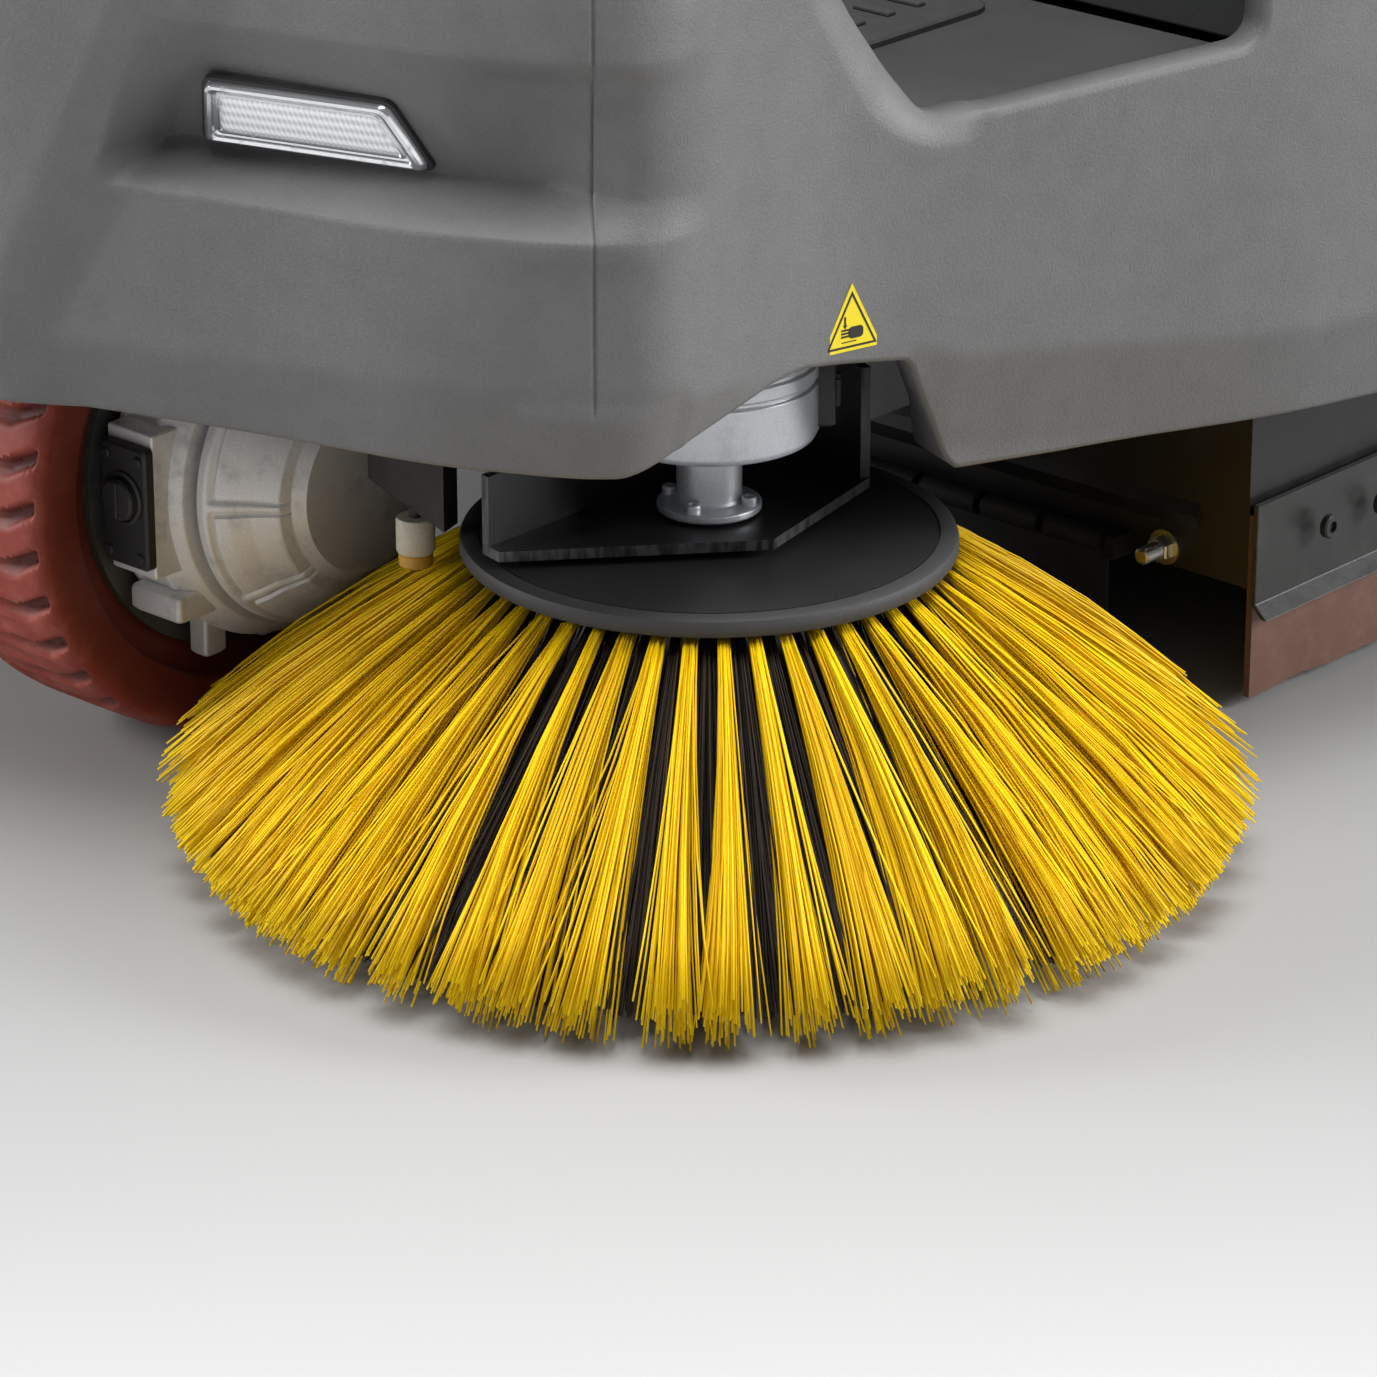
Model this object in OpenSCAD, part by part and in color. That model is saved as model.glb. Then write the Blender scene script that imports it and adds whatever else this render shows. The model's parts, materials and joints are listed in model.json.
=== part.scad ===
// Compact ride-on sweeper: steered front drive wheel, one side brush, roller broom and rear hopper.
// Machine axes: the nose points to -Y, the driver's left is +X, the floor is z = 0.
// Everything is drawn about the steering axis and moved once, by row_frame(), to the middle of the base.

/* [Body] */
// Half of the body's width over the side panels
body_half_w = 465; // [440:1:500]
// Distance from the steering axis to the rear wall
body_rear_y = 1445; // [1400:1:1600]
// Thickness of the moulded panels
panel_t = 6; // [4:0.5:8]
// Height of the front panel's lower edge
cowl_bottom_z = 230; // [215:1:245]
// Height at which the front panel starts to lean back
cowl_lean_z = 430; // [400:1:460]
// Top of the front panel
cowl_top_z = 754; // [720:1:780]
// Lean of the front panel above its lean height, per unit of height
cowl_lean = 0.15; // [0.05:0.01:0.25]
// Height of the step-in sill at its front end
sill_z = 357; // [352:1:370]
// Top of the seat base
seat_base_z = 640; // [620:1:680]
// Top edge of the rear side panels
rear_side_z = 480; // [475:1:500]
// Height of the rear hood
hood_h = 168; // [160:1:190]

/* [Chassis] */
// Outer face of each side rail
rail_x = 350; // [345:1:355]
// Thickness of each side rail
rail_t = 20; // [12:1:20]
// Underside of the rails
rail_z0 = 262; // [258:1:266]
// Top of the rails and of the front plate
rail_z1 = 340; // [334:1:346]
// Radius of the steering shaft
steer_shaft_r = 25; // [20:1:30]
// Running clearance of shafts and pins in their bores
run_gap = 0.06; // [0.03:0.01:0.1]
// Gap between neighbouring pieces that don't touch
gap = 0.3; // [0.3:0.1:0.6]

/* [Wheels] */
// Radius of the front tyre
front_r = 143; // [138:1:146]
// Width of the front tyre
front_w = 72; // [60:1:78]
// Outboard face of the front tyre
front_face_x = 8; // [0:1:10]
// Radius of the rear tyres
rear_r = 140; // [130:1:146]
// Width of the rear tyres
rear_w = 70; // [60:1:80]
// Distance from the steering axis to the rear axle
wheelbase = 1010; // [980:1:1060]
// Radius of the rear stub axles
stub_r = 12; // [10:1:15]
// Radius of the drive gearbox housing
gearbox_r = 88; // [80:1:92]

/* [Side brush] */
// Brush axis, distance to the left of the steering axis
brush_x = 269; // [265:1:280]
// Brush axis, distance behind the steering axis
brush_y = 43; // [30:1:50]
// Radius of the brush disc
disc_r = 114; // [105:1:120]
// Top of the brush disc
disc_top_z = 153; // [150:1:158]
// Thickness of the brush disc
disc_t = 10; // [8:1:12]
// Radius of the brush over the bristle tips
brush_r = 255; // [240:1:256]
// Height of the bristle tips above the floor
tip_z = 2.5; // [2:0.5:6]
// Radius of the brush motor
brush_motor_r = 50; // [40:1:52]
// Length of each lift link between its pivots
link_l = 100; // [90:1:105]

/* [Broom and hopper] */
// Distance from the steering axis to the broom axis
broom_y = 480; // [470:1:490]
// Radius of the broom over its bristles
broom_r = 115; // [105:1:118]
// Half of the broom's length
broom_half_l = 305; // [280:1:306]
// Front plane of the broom deck
deck_y = 334; // [330:1:338]
// Half of the width of the broom deck
deck_half_w = 359; // [356:1:365]
// Depth of the broom deck, front to back
deck_l = 306; // [300:1:310]
// Half of the width of the hopper
hopper_half_w = 320; // [300:1:321]
// Length of the hopper
hopper_l = 740; // [680:1:760]
// Top of the hopper
hopper_z1 = 255; // [240:1:257]

/* [Driver's place] */
// Radius of the steering wheel
wheel_ring_r = 180; // [160:1:200]
// Height of the steering wheel's centre
wheel_ring_z = 950; // [920:1:980]
// Half of the seat's width
seat_half_w = 230; // [200:1:260]
// Thickness of the seat cushion
cushion_t = 85; // [70:1:100]
// Height of the backrest above the seat base
backrest_h = 540; // [450:1:600]

/* [Hidden] */

cowl_grey = [0.42, 0.43, 0.44];
black = [0.1, 0.1, 0.11];
charcoal = [0.17, 0.17, 0.18];
steel_black = [0.13, 0.13, 0.14];
aluminium = [0.72, 0.72, 0.7];
chrome = [0.85, 0.86, 0.88];
white = [0.95, 0.95, 0.93];
yellow = [0.98, 0.83, 0.05];
red = [0.62, 0.17, 0.12];
safety_red = [0.85, 0.08, 0.06];
skirt_brown = [0.33, 0.18, 0.14];
dark_grey = [0.25, 0.26, 0.27];

wide = 2 * body_half_w + 100;
skin_gap = panel_t + 0.5;

// Left half of the body's plan, from the nose back along the side.
nose_y = -205;
plan_half = [[0, nose_y], [63, -199], [122, -181], [180, -163], [258, -143], [300, -125],
    [332, -103], [350, -74], [350, -20], [353, 30], [367, 77], [400, 162], [434, 247],
    [452, 310], [body_half_w - 2, 360], [body_half_w, 400]];
side_y = plan_half[len(plan_half) - 1][1];

// Centre of the model's box, which is the part's own origin.
bumper_t = 12;
bumper_gap = 0.3;
rear_y = body_rear_y + bumper_gap + bumper_t;
box_mid_x = (brush_x + brush_r - body_half_w) / 2;
box_mid_y = (min(nose_y, brush_y - brush_r) + rear_y) / 2;

module row_frame() translate([-box_mid_x, -box_mid_y, 0]) children();
module both_sides() {
    children();
    mirror([1, 0, 0]) children();
}
module along_x() rotate([0, 90, 0]) children();
// An outline in the (y, z) plane, drawn through the machine from x0 to x1.
module side_cut(outline, x0 = -wide / 2, x1 = wide / 2)
    translate([x0, 0, 0]) rotate([90, 0, 90]) linear_extrude(x1 - x0) polygon(outline);
module box(low, high) translate(low) cube(high - low);
module tube(r, x0, x1, y, z, fn = 96)
    translate([x0, y, z]) along_x() cylinder(r = r, h = x1 - x0, $fn = fn);

// Smooth curve through points, and its inward offset.
function spline(a, b, c, d, t) = 0.5 * (2 * b + (c - a) * t + (2 * a - 5 * b + 4 * c - d) * t * t
    + (3 * b - a - 3 * c + d) * t * t * t);
function pick(p, i) = p[max(0, min(len(p) - 1, i))];
function smooth(p, n) = concat([for (i = [0:len(p) - 2]) for (k = [0:n - 1])
    spline(pick(p, i - 1), p[i], p[i + 1], pick(p, i + 2), k / n)], [p[len(p) - 1]]);
function flipped(p) = [for (i = [len(p) - 1:-1:1]) [-p[i][0], p[i][1]]];
function across(p) = concat(flipped(p), p);
function turned(v) = [v[1], -v[0]] / norm(v);
function inset(p, d) = [for (i = [0:len(p) - 1])
    p[i] - d * turned(pick(p, i + 1) - pick(p, i - 1))];

cowl_plan = across(smooth(plan_half, 3));

// A skin between levels, each a height and the inward offset of the plan there.
module loft(plan, levels) {
    n = len(plan);
    rows = len(levels);
    points = [for (l = levels) for (p = inset(plan, l[1])) [p[0], p[1], l[0]]];
    sides = [for (r = [0:rows - 2]) for (i = [0:n - 1])
        [r * n + i, (r + 1) * n + i, (r + 1) * n + (i + 1) % n, r * n + (i + 1) % n]];
    polyhedron(points, concat(sides, [[for (i = [0:n - 1]) i]],
        [[for (i = [n - 1:-1:0]) (rows - 1) * n + i]]), convexity = 8);
}

cowl_low_z = 160;
top_round = 18;
function cowl_levels(t) = [[cowl_low_z - t, t], [cowl_lean_z, t],
    [cowl_top_z - top_round, t + (cowl_top_z - top_round - cowl_lean_z) * cowl_lean],
    [cowl_top_z - t, t + (cowl_top_z - cowl_lean_z) * cowl_lean + top_round / 2]];

// The step-in opening: its front edge leans forward, its rear edge is upright.
entry_y0 = 82;
entry_y1 = 235;
entry_lean = 1.71;
sill_rise = 14;
cowl_rear_y = 290;
function entry_y(z) = entry_y0 - (z - sill_z) / entry_lean;
entry_cut = [[entry_y0, sill_z], [entry_y1, sill_z + sill_rise], [entry_y1, seat_base_z],
    [cowl_rear_y + 300, seat_base_z], [cowl_rear_y + 300, cowl_top_z + 60],
    [entry_y(cowl_top_z + 60), cowl_top_z + 60]];
// The cowl's lower edge, with the arch that clears the side brush.
lower_cut = [[nose_y - 60, 0], [nose_y - 60, cowl_bottom_z], [-84, cowl_bottom_z],
    [-53, cowl_bottom_z + 12], [-5, cowl_bottom_z + 27], [14, cowl_bottom_z + 29],
    [75, cowl_bottom_z + 21], [104, 191], [side_y + 60, 183], [side_y + 60, 0]];
seam_lean = 0.3;
function cowl_rear(z) = cowl_rear_y + max(0, 425 - z) * seam_lean;
panel_gap = 4;

// Headlamp: a pocket in the front corner, deepest at its foot.
lamp_at = [205, -155, 0];
lamp_turn = 17;
lamp_half_l = 54;
lamp_z0 = 356;
lamp_z1 = 389;
pocket_z0 = 352;
pocket_z1 = 415;
pocket_half_l = 92;
pocket_deep = 30;
lamp_lean = atan(pocket_deep / (pocket_z1 - pocket_z0));
module at_lamp() translate(lamp_at) rotate([0, 0, lamp_turn]) children();
module pocket(grow) hull() {
    translate([-pocket_half_l - grow, -40, pocket_z0 - grow])
        cube([2 * (pocket_half_l + grow), 40 + pocket_deep + grow, 0.1]);
    translate([-pocket_half_l - grow, -40, pocket_z1 + grow])
        cube([2 * (pocket_half_l + grow), 40 + grow, 0.1]);
}
// The lamp's own plane: its middle height, on the pocket's sloping back.
lamp_mid_z = (lamp_z0 + lamp_z1) / 2;
module on_pocket() at_lamp()
    translate([0, pocket_deep * (pocket_z1 - lamp_mid_z) / (pocket_z1 - pocket_z0), lamp_mid_z])
    rotate([90 + lamp_lean, 0, 0]) children();
module lamp_shape(half_l, half_h) polygon([[-half_l, -half_h], [half_l, -half_h],
    [half_l - half_h * 0.75, half_h], [-half_l + half_h * 0.5, half_h]]);
lamp_half_h = (lamp_z1 - lamp_z0) / 2;
bezel_rim = 6;
bezel_h = 5;

module front_cowl() color(cowl_grey) row_frame() difference() {
    union() {
        difference() {
            loft(cowl_plan, cowl_levels(0));
            loft(cowl_plan, cowl_levels(panel_t));
        }
        intersection() {
            loft(cowl_plan, cowl_levels(0));
            both_sides() at_lamp() pocket(panel_t);
        }
    }
    both_sides() at_lamp() pocket(0);
    side_cut(entry_cut);
    side_cut(lower_cut);
    side_cut([[cowl_rear(cowl_low_z), cowl_low_z - 30], [cowl_rear(425), 425],
        [cowl_rear_y, cowl_top_z], [side_y + 60, cowl_top_z], [side_y + 60, cowl_low_z - 30]]);
}
label_at = [356.6, 40, 275];
label_w = 26;
label_h = 31;
module warning_label() color(yellow) row_frame() translate(label_at) rotate([90, 0, 80])
    linear_extrude(0.6) polygon([[-label_w / 2, -label_h / 2], [label_w / 2, -label_h / 2], [0, label_h / 2]]);
module headlamp_bezels() color(chrome) row_frame() both_sides() on_pocket() difference() {
    translate([0, 0, gap]) linear_extrude(bezel_h) lamp_shape(lamp_half_l, lamp_half_h);
    translate([0, 0, -1]) linear_extrude(bezel_h + 3)
        lamp_shape(lamp_half_l - bezel_rim * 1.4, lamp_half_h - bezel_rim);
}
module headlamp_lenses() color(white) row_frame() both_sides() on_pocket()
    translate([0, 0, gap]) linear_extrude(bezel_h - 1)
    lamp_shape(lamp_half_l - bezel_rim * 1.4 - gap * 2, lamp_half_h - bezel_rim - gap);

// Chassis: a front plate with the steering bearing, two rails and cross members.
front_plate_t = 10;
front_plate_x = 290;
front_beam_x0 = 190;
front_beam_x1 = 210;
cross_y0 = 300;
cross_y1 = 330;
rear_cross_y = 1400;
bearing_r = steer_shaft_r + 16;
axle_plate_half_l = 60;
axle_plate_z0 = 100;
eye_r = 8;
eye_t = 12;
eye_x = 334;
eye_y = 1388;
eye_z = 170;
runner_z = 214;
hopper_y0 = deck_y + deck_l + 10;
bracket_t = 6;
module chassis_frame() color(steel_black) row_frame() {
    difference() {
        union() {
            box([-front_plate_x, -110, rail_z1 - front_plate_t], [front_plate_x, cross_y1, rail_z1]);
            translate([0, 0, rail_z0 + 48]) cylinder(r = bearing_r, h = rail_z1 - rail_z0 - 48, $fn = 96);
            box([-rail_x, cross_y0, rail_z0], [rail_x, cross_y1, rail_z1]);
            box([-rail_x, rear_cross_y - 20, rail_z0], [rail_x, rear_cross_y, rail_z1]);
            both_sides() {
                box([front_beam_x0, -80, rail_z0], [front_beam_x1, cross_y0, rail_z1]);
                box([rail_x - rail_t, cross_y0, rail_z0], [rail_x, rear_cross_y, rail_z1]);
                box([rail_x - rail_t, wheelbase - axle_plate_half_l, axle_plate_z0],
                    [rail_x, wheelbase + axle_plate_half_l, rail_z0]);
                tube(stub_r, rail_x - 1, rail_x + 84, wheelbase, rear_r);
                box([hopper_half_w + 6, hopper_y0, runner_z], [rail_x - rail_t, rear_cross_y, rail_z0 + 20]);
                box([hopper_half_w + 1, hopper_y0, runner_z - 6],
                    [rail_x - rail_t, rear_cross_y, runner_z]);
            }
            // Lashing eyes under the tail.
            both_sides() box([eye_x, eye_y - 14, eye_z - 14], [eye_x + eye_t, eye_y + 10, rail_z0 + 1]);
            // Flat arms that carry the side panels.
            both_sides() for (y = [660, 1260])
                box([rail_x - rail_t, y, rail_z1 - 2], [body_half_w - panel_t - gap, y + 40, rail_z1 + bracket_t]);
            // Black box beside the drive wheel, with the guide roller's spindle under it.
            translate([0, 0, 162]) linear_extrude(rail_z1 - front_plate_t - 161)
                polygon([[125, -32], [200, -59], [196, -46], [140, -22], [125, -22]]);
            translate([168, -45, 132]) cylinder(r = 3, h = 31, $fn = 32);
            // Lugs and pins of the side brush's lift links.
            lugs(mount_y - 12, cross_y0 + 6, link_low_z - 12, link_up_z + 12);
            link_pins(mount_y);
            box([link_x0 - gap - lug_t, cross_y0 - 2, link_low_z - 12],
                [link_x1 + gap + lug_t, cross_y0 + 6, rail_z0 + 1]);
        }
        translate([0, 0, rail_z0]) cylinder(r = steer_shaft_r + run_gap, h = rail_z1, $fn = 96);
        both_sides() tube(eye_r, eye_x - 1, eye_x + eye_t + 1, eye_y, eye_z, 48);
    }
}
// Footwell: the floor spans the cowl, the front wall stops under the dash.
floor_t = 6;
floor_z1 = rail_z1 + floor_t;
toe_y = -60;
module in_cowl(t) intersection() {
    loft(cowl_plan, cowl_levels(t));
    children();
}
dash_t = 8;
dash_z = 600;
module footwell_tub() color(dark_grey) row_frame() {
    in_cowl(skin_gap) union() {
        box([-wide / 2, toe_y, rail_z1], [wide / 2, cowl_rear_y, floor_z1]);
        side_cut([[toe_y - panel_t, rail_z1], [toe_y, rail_z1], [toe_y, dash_z - dash_t - 12],
            [toe_y - panel_t, dash_z - dash_t - 12]]);
    }
    // Ears and rods of the two pedals.
    for (x = [-pedal_x, pedal_x]) {
        tube(pedal_rod_r, x - pedal_w / 2 - 4, x + pedal_w / 2 + 4, pedal_y, pedal_z, 48);
        for (e = [x - pedal_w / 2 - 6, x + pedal_w / 2 + 1])
            box([e, pedal_y - 10, floor_z1 - 1], [e + 5, pedal_y + 10, pedal_z + 8]);
    }
}
mat_t = 4;
mat_ribs = 9;
module floor_mat() color(black) row_frame() {
    box([-250, 70, floor_z1], [250, 270, floor_z1 + mat_t]);
    for (i = [0:mat_ribs - 1])
        box([-240, 80 + i * 20, floor_z1 + mat_t], [240, 90 + i * 20, floor_z1 + mat_t + 2]);
}
// Sloping dash between the cowl's sides, with a raised console round the column.
dash_mid_z = 640;
dash_end_z = cowl_top_z - 20;
console_half_w = 110;
// Points on the slope: a height and a distance in front of it.
function slope(z, out) = [entry_y(z) + out, z];
module dash_console() color(charcoal) row_frame() difference() {
    union() {
        in_cowl(skin_gap) side_cut([slope(dash_z, -2), slope(dash_end_z, -2), slope(dash_end_z, -2 - dash_t * 1.4),
            slope(dash_z, -2 - dash_t * 1.4)]);
        side_cut([slope(626, -4), slope(628, 44), slope(690, 34), slope(710, 0), slope(710, -4)],
            -console_half_w, console_half_w);
    }
    column_line() cylinder(r = column_r + 2, h = column_l, $fn = 48);
    at_panel(stop_x, stop_z) cylinder(r = stop_stem_r + gap, h = 60, center = true, $fn = 48);
}
// Steering column: a straight shaft that leans back to the wheel.
column_r = 19;
column_top = [0, 80, wheel_ring_z];
column_lean = 29.2;
column_l = 400;
module column_line() translate(column_top) rotate([-column_lean, 0, 0])
    translate([0, 0, -column_l]) children();
gear_h = 50;
shaft_gear_r = 10;
module steering_column() color(black) row_frame() column_line() difference() {
    union() {
        cylinder(r = column_r, h = column_l - 46, $fn = 64);
        translate([0, 0, column_l - 46]) cylinder(r1 = column_r, r2 = 26, h = 26, $fn = 64);
    }
    translate([0, 0, -1]) cylinder(r = shaft_gear_r + run_gap, h = column_l + 2, $fn = 48);
}
rim_tube_r = 13;
module steering_wheel() color(black) row_frame() column_line() {
    translate([0, 0, 12 - gear_h]) cylinder(r = shaft_gear_r, h = column_l + gear_h - 12, $fn = 48);
    translate([0, 0, column_l - 18]) cylinder(r = 42, h = 24, $fn = 64);
    translate([0, 0, column_l]) rotate_extrude($fn = 96)
        translate([wheel_ring_r - rim_tube_r, 0]) circle(r = rim_tube_r, $fn = 32);
    for (a = [90, 210, 330]) rotate([0, 0, a]) translate([30, -14, column_l - 8])
        cube([wheel_ring_r - rim_tube_r - 34, 28, 9]);
}
// Switches on the sloping dash.
switch_x = 165;
// A frame on the dash: x across, y up the slope, z out of it.
dash_tilt = atan(entry_lean);
module at_panel(x, z) translate([x, entry_y(z) - 2, z]) rotate([-dash_tilt, 0, 0])
    translate([0, 0, gap]) children();
module display_panel() color(dark_grey) row_frame() at_panel(-switch_x, dash_mid_z) difference() {
    translate([-50, -34, 0]) cube([100, 68, 12]);
    translate([-42, -26, 9]) cube([84, 52, 5]);
}
stop_z = 628;
stop_x = 175;
stop_travel = 5;
stop_stem_r = 9;
module emergency_stop() color(safety_red) row_frame() at_panel(stop_x, stop_z) {
    translate([0, 0, -2]) cylinder(r = stop_stem_r, h = 18 + stop_travel, $fn = 48);
    translate([0, 0, 14 + stop_travel]) cylinder(r = 18, h = 11, $fn = 64);
}
module key_switch() color(chrome) row_frame() at_panel(stop_x, stop_z + 46) {
    cylinder(r = 9, h = 12, $fn = 48);
    translate([-1.5, -9, 12]) cube([3, 18, 20]);
}
module program_dial() color(dark_grey) row_frame() at_panel(stop_x - 42, stop_z + 34) {
    cylinder(r = 17, h = 14, $fn = 64);
    translate([-3, -15, 14]) cube([6, 30, 6]);
}
// Foot pedals: a plate on a hinge rod between two ears on the floor.
pedal_y = 45;
pedal_z = floor_z1 + 14;
pedal_w = 76;
pedal_l = 104;
pedal_t = 8;
pedal_rod_r = 4;
pedal_lean = 38;
module pedal(x) translate([x, pedal_y, pedal_z]) rotate([180 - pedal_lean, 0, 0]) difference() {
    union() {
        tube(8, -pedal_w / 2, pedal_w / 2, 0, 0, 48);
        translate([-pedal_w / 2, 0, -pedal_t / 2]) cube([pedal_w, pedal_l, pedal_t]);
    }
    tube(pedal_rod_r + run_gap, -pedal_w, pedal_w, 0, 0, 48);
}
pedal_x = 165;
module accelerator_pedal() color(black) row_frame() pedal(-pedal_x);
module brake_pedal() color(black) row_frame() pedal(pedal_x);

// Rear body: a ring of side panels from the seat base to the tail.
corner_r = 60;
corner_steps = 5;
rear_start_y = cowl_rear_y + panel_gap;
rear_start_x = lookup(rear_start_y, [for (p = plan_half) if (p[1] > 0) [p[1], p[0]]]);
rear_half = concat([[rear_start_x, rear_start_y]], [for (p = plan_half) if (p[1] > rear_start_y) p],
    [for (i = [0:corner_steps]) [body_half_w - corner_r + corner_r * cos(i * 90 / corner_steps),
        body_rear_y - corner_r + corner_r * sin(i * 90 / corner_steps)]]);
function mirror_plan(p) = [for (i = [len(p) - 1:-1:0]) [-p[i][0], p[i][1]]];
rear_side_z0 = 184;
seat_base_y = 750;
arch_r = rear_r + 25;
bumper_z0 = 270;
bumper_z1 = 330;
bumper_half_l = 400;
accessory_x = 100;
accessory_z = 15;
accessory_r = 5.5;
module accessory_holes(y0, y1) for (x = [-accessory_x, accessory_x]) for (z = [-accessory_z, accessory_z])
    translate([x, y0, (bumper_z0 + bumper_z1) / 2 + z]) rotate([-90, 0, 0])
        cylinder(r = accessory_r, h = y1 - y0, $fn = 32);
// Front hinge of the seat platform.
tilt_y = cowl_rear_y;
tilt_z = seat_base_z + 1;
tilt_x = 200;
tilt_pin_r = 2.5;
knuckle_r = 5;
hinge_y = 1408;
hinge_z = rear_side_z + 25;
hinge_x = 200;
module rear_body() color(cowl_grey) row_frame() difference() {
    union() {
        difference() {
            translate([0, 0, rear_side_z0]) linear_extrude(seat_base_z - rear_side_z0)
                polygon(concat(rear_half, mirror_plan(rear_half)));
            translate([0, 0, rear_side_z0 - 1]) linear_extrude(seat_base_z - rear_side_z0 + 2)
                polygon(concat([[rear_half[0][0] - panel_t, 0]], inset(rear_half, panel_t),
                    mirror_plan(inset(rear_half, panel_t)), [[-rear_half[0][0] + panel_t, 0]]));
            side_cut([[0, 0], [0, seat_base_z + 9], [cowl_rear_y + panel_gap, seat_base_z + 9],
                [cowl_rear(425) + panel_gap, 425], [cowl_rear(cowl_low_z) + panel_gap, cowl_low_z],
                [cowl_rear(cowl_low_z), 0]]);
            tube(arch_r, -wide / 2, wide / 2, wheelbase, rear_r);
        }
        // Front wall of the seat base, inside the cowl's rear edge.
        box([-430, cowl_rear_y + 6, floor_z1 + 2], [430, cowl_rear_y + 12, seat_base_z]);
        both_sides() box([425, cowl_rear_y + 6, 440], [446, cowl_rear_y + 12, seat_base_z]);
        both_sides() {
            tube(knuckle_r, tilt_x + gap, tilt_x + 30, tilt_y, tilt_z, 48);
            box([tilt_x + gap, tilt_y, seat_base_z - 8], [tilt_x + 30, cowl_rear_y + 7, seat_base_z - 1]);
            tube(tilt_pin_r, tilt_x - 45, tilt_x + 10, tilt_y, tilt_z, 48);
        }
        // Rear wall of the seat base.
        box([-body_half_w + 3, seat_base_y, filter_z1 + 4],
            [body_half_w - 3, seat_base_y + panel_t, seat_base_z]);
        // Ears and pins of the hood hinge.
        both_sides() {
            box([hinge_x, hinge_y - 12, rear_side_z - 60], [hinge_x + 12, body_rear_y - 3, rear_side_z - 2]);
            box([hinge_x, hinge_y - 12, rear_side_z - 60], [hinge_x + 12, hinge_y + 12, hinge_z + 10]);
            tube(5, hinge_x + 10, hinge_x + 34, hinge_y, hinge_z, 48);
        }
    }
    difference() {
        box([-wide / 2, seat_base_y + panel_t, rear_side_z], [wide / 2, body_rear_y + 9, seat_base_z + 9]);
        both_sides() box([hinge_x - 1, hinge_y - 20, rear_side_z - 1], [hinge_x + 40, hinge_y + 16, hinge_z + 20]);
    }
    // The hopper leaves through the tail.
    box([-hopper_half_w - 10, body_rear_y - 90, 0], [hopper_half_w + 10, body_rear_y + 9, hopper_z1 + 6]);
    accessory_holes(body_rear_y - 20, rear_y + 1);
}
module rear_bumper() color(black) row_frame() difference() {
    box([-bumper_half_l, body_rear_y + bumper_gap, bumper_z0], [bumper_half_l, rear_y, bumper_z1]);
    accessory_holes(body_rear_y - 20, rear_y + 1);
}
hood_inset = 14;
hood_y0 = seat_base_y + panel_t + 6;
hood_half = concat([[body_half_w - hood_inset, hood_y0]], [for (i = [0:corner_steps])
    [body_half_w - hood_inset - corner_r + corner_r * cos(i * 90 / corner_steps),
        body_rear_y - hood_inset - corner_r + corner_r * sin(i * 90 / corner_steps)]]);
hood_plan = concat(hood_half, mirror_plan(hood_half));
hood_z0 = rear_side_z + 3;
function hood_levels(t) = [[hood_z0 - t, t], [hood_z0 + hood_h * 0.6, t + 8], [hood_z0 + hood_h * 0.9, t + 30],
    [hood_z0 + hood_h - t, t + 60]];
module closed_loft(plan, levels) {
    n = len(plan);
    rows = len(levels);
    points = [for (l = levels) for (p = plan) [p[0] * (1 - l[1] / (body_half_w - hood_inset)),
        (hood_y0 + body_rear_y) / 2 + (p[1] - (hood_y0 + body_rear_y) / 2) * (1 - l[1] * 2 / (body_rear_y - hood_y0)),
        l[0]]];
    sides = [for (r = [0:rows - 2]) for (i = [0:n - 1])
        [r * n + i, (r + 1) * n + i, (r + 1) * n + (i + 1) % n, r * n + (i + 1) % n]];
    polyhedron(points, concat(sides, [[for (i = [0:n - 1]) i]],
        [[for (i = [n - 1:-1:0]) (rows - 1) * n + i]]), convexity = 8);
}
module rear_hood() color(cowl_grey) row_frame() {
    difference() {
        closed_loft(hood_plan, hood_levels(0));
        closed_loft(hood_plan, hood_levels(panel_t));
        // Behind the hinge the rim is lifted, with a slot round each ear, so that the hood can swing.
        box([-body_half_w, hinge_y + 8, hood_z0 - 1], [body_half_w, body_rear_y, hood_z0 + 16]);
        both_sides() box([hinge_x - 3, hinge_y + 8, hood_z0 - 1], [hinge_x + 15, body_rear_y, hinge_z + 10]);
    }
    // Hinge knuckles under the hood's top.
    both_sides() difference() {
        box([hinge_x + 14, hinge_y - 12, hinge_z - 8], [hinge_x + 28, hinge_y + 12, hood_z0 + hood_h - 40]);
        tube(5 + run_gap, hinge_x, hinge_x + 60, hinge_y, hinge_z, 48);
    }
}

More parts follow.
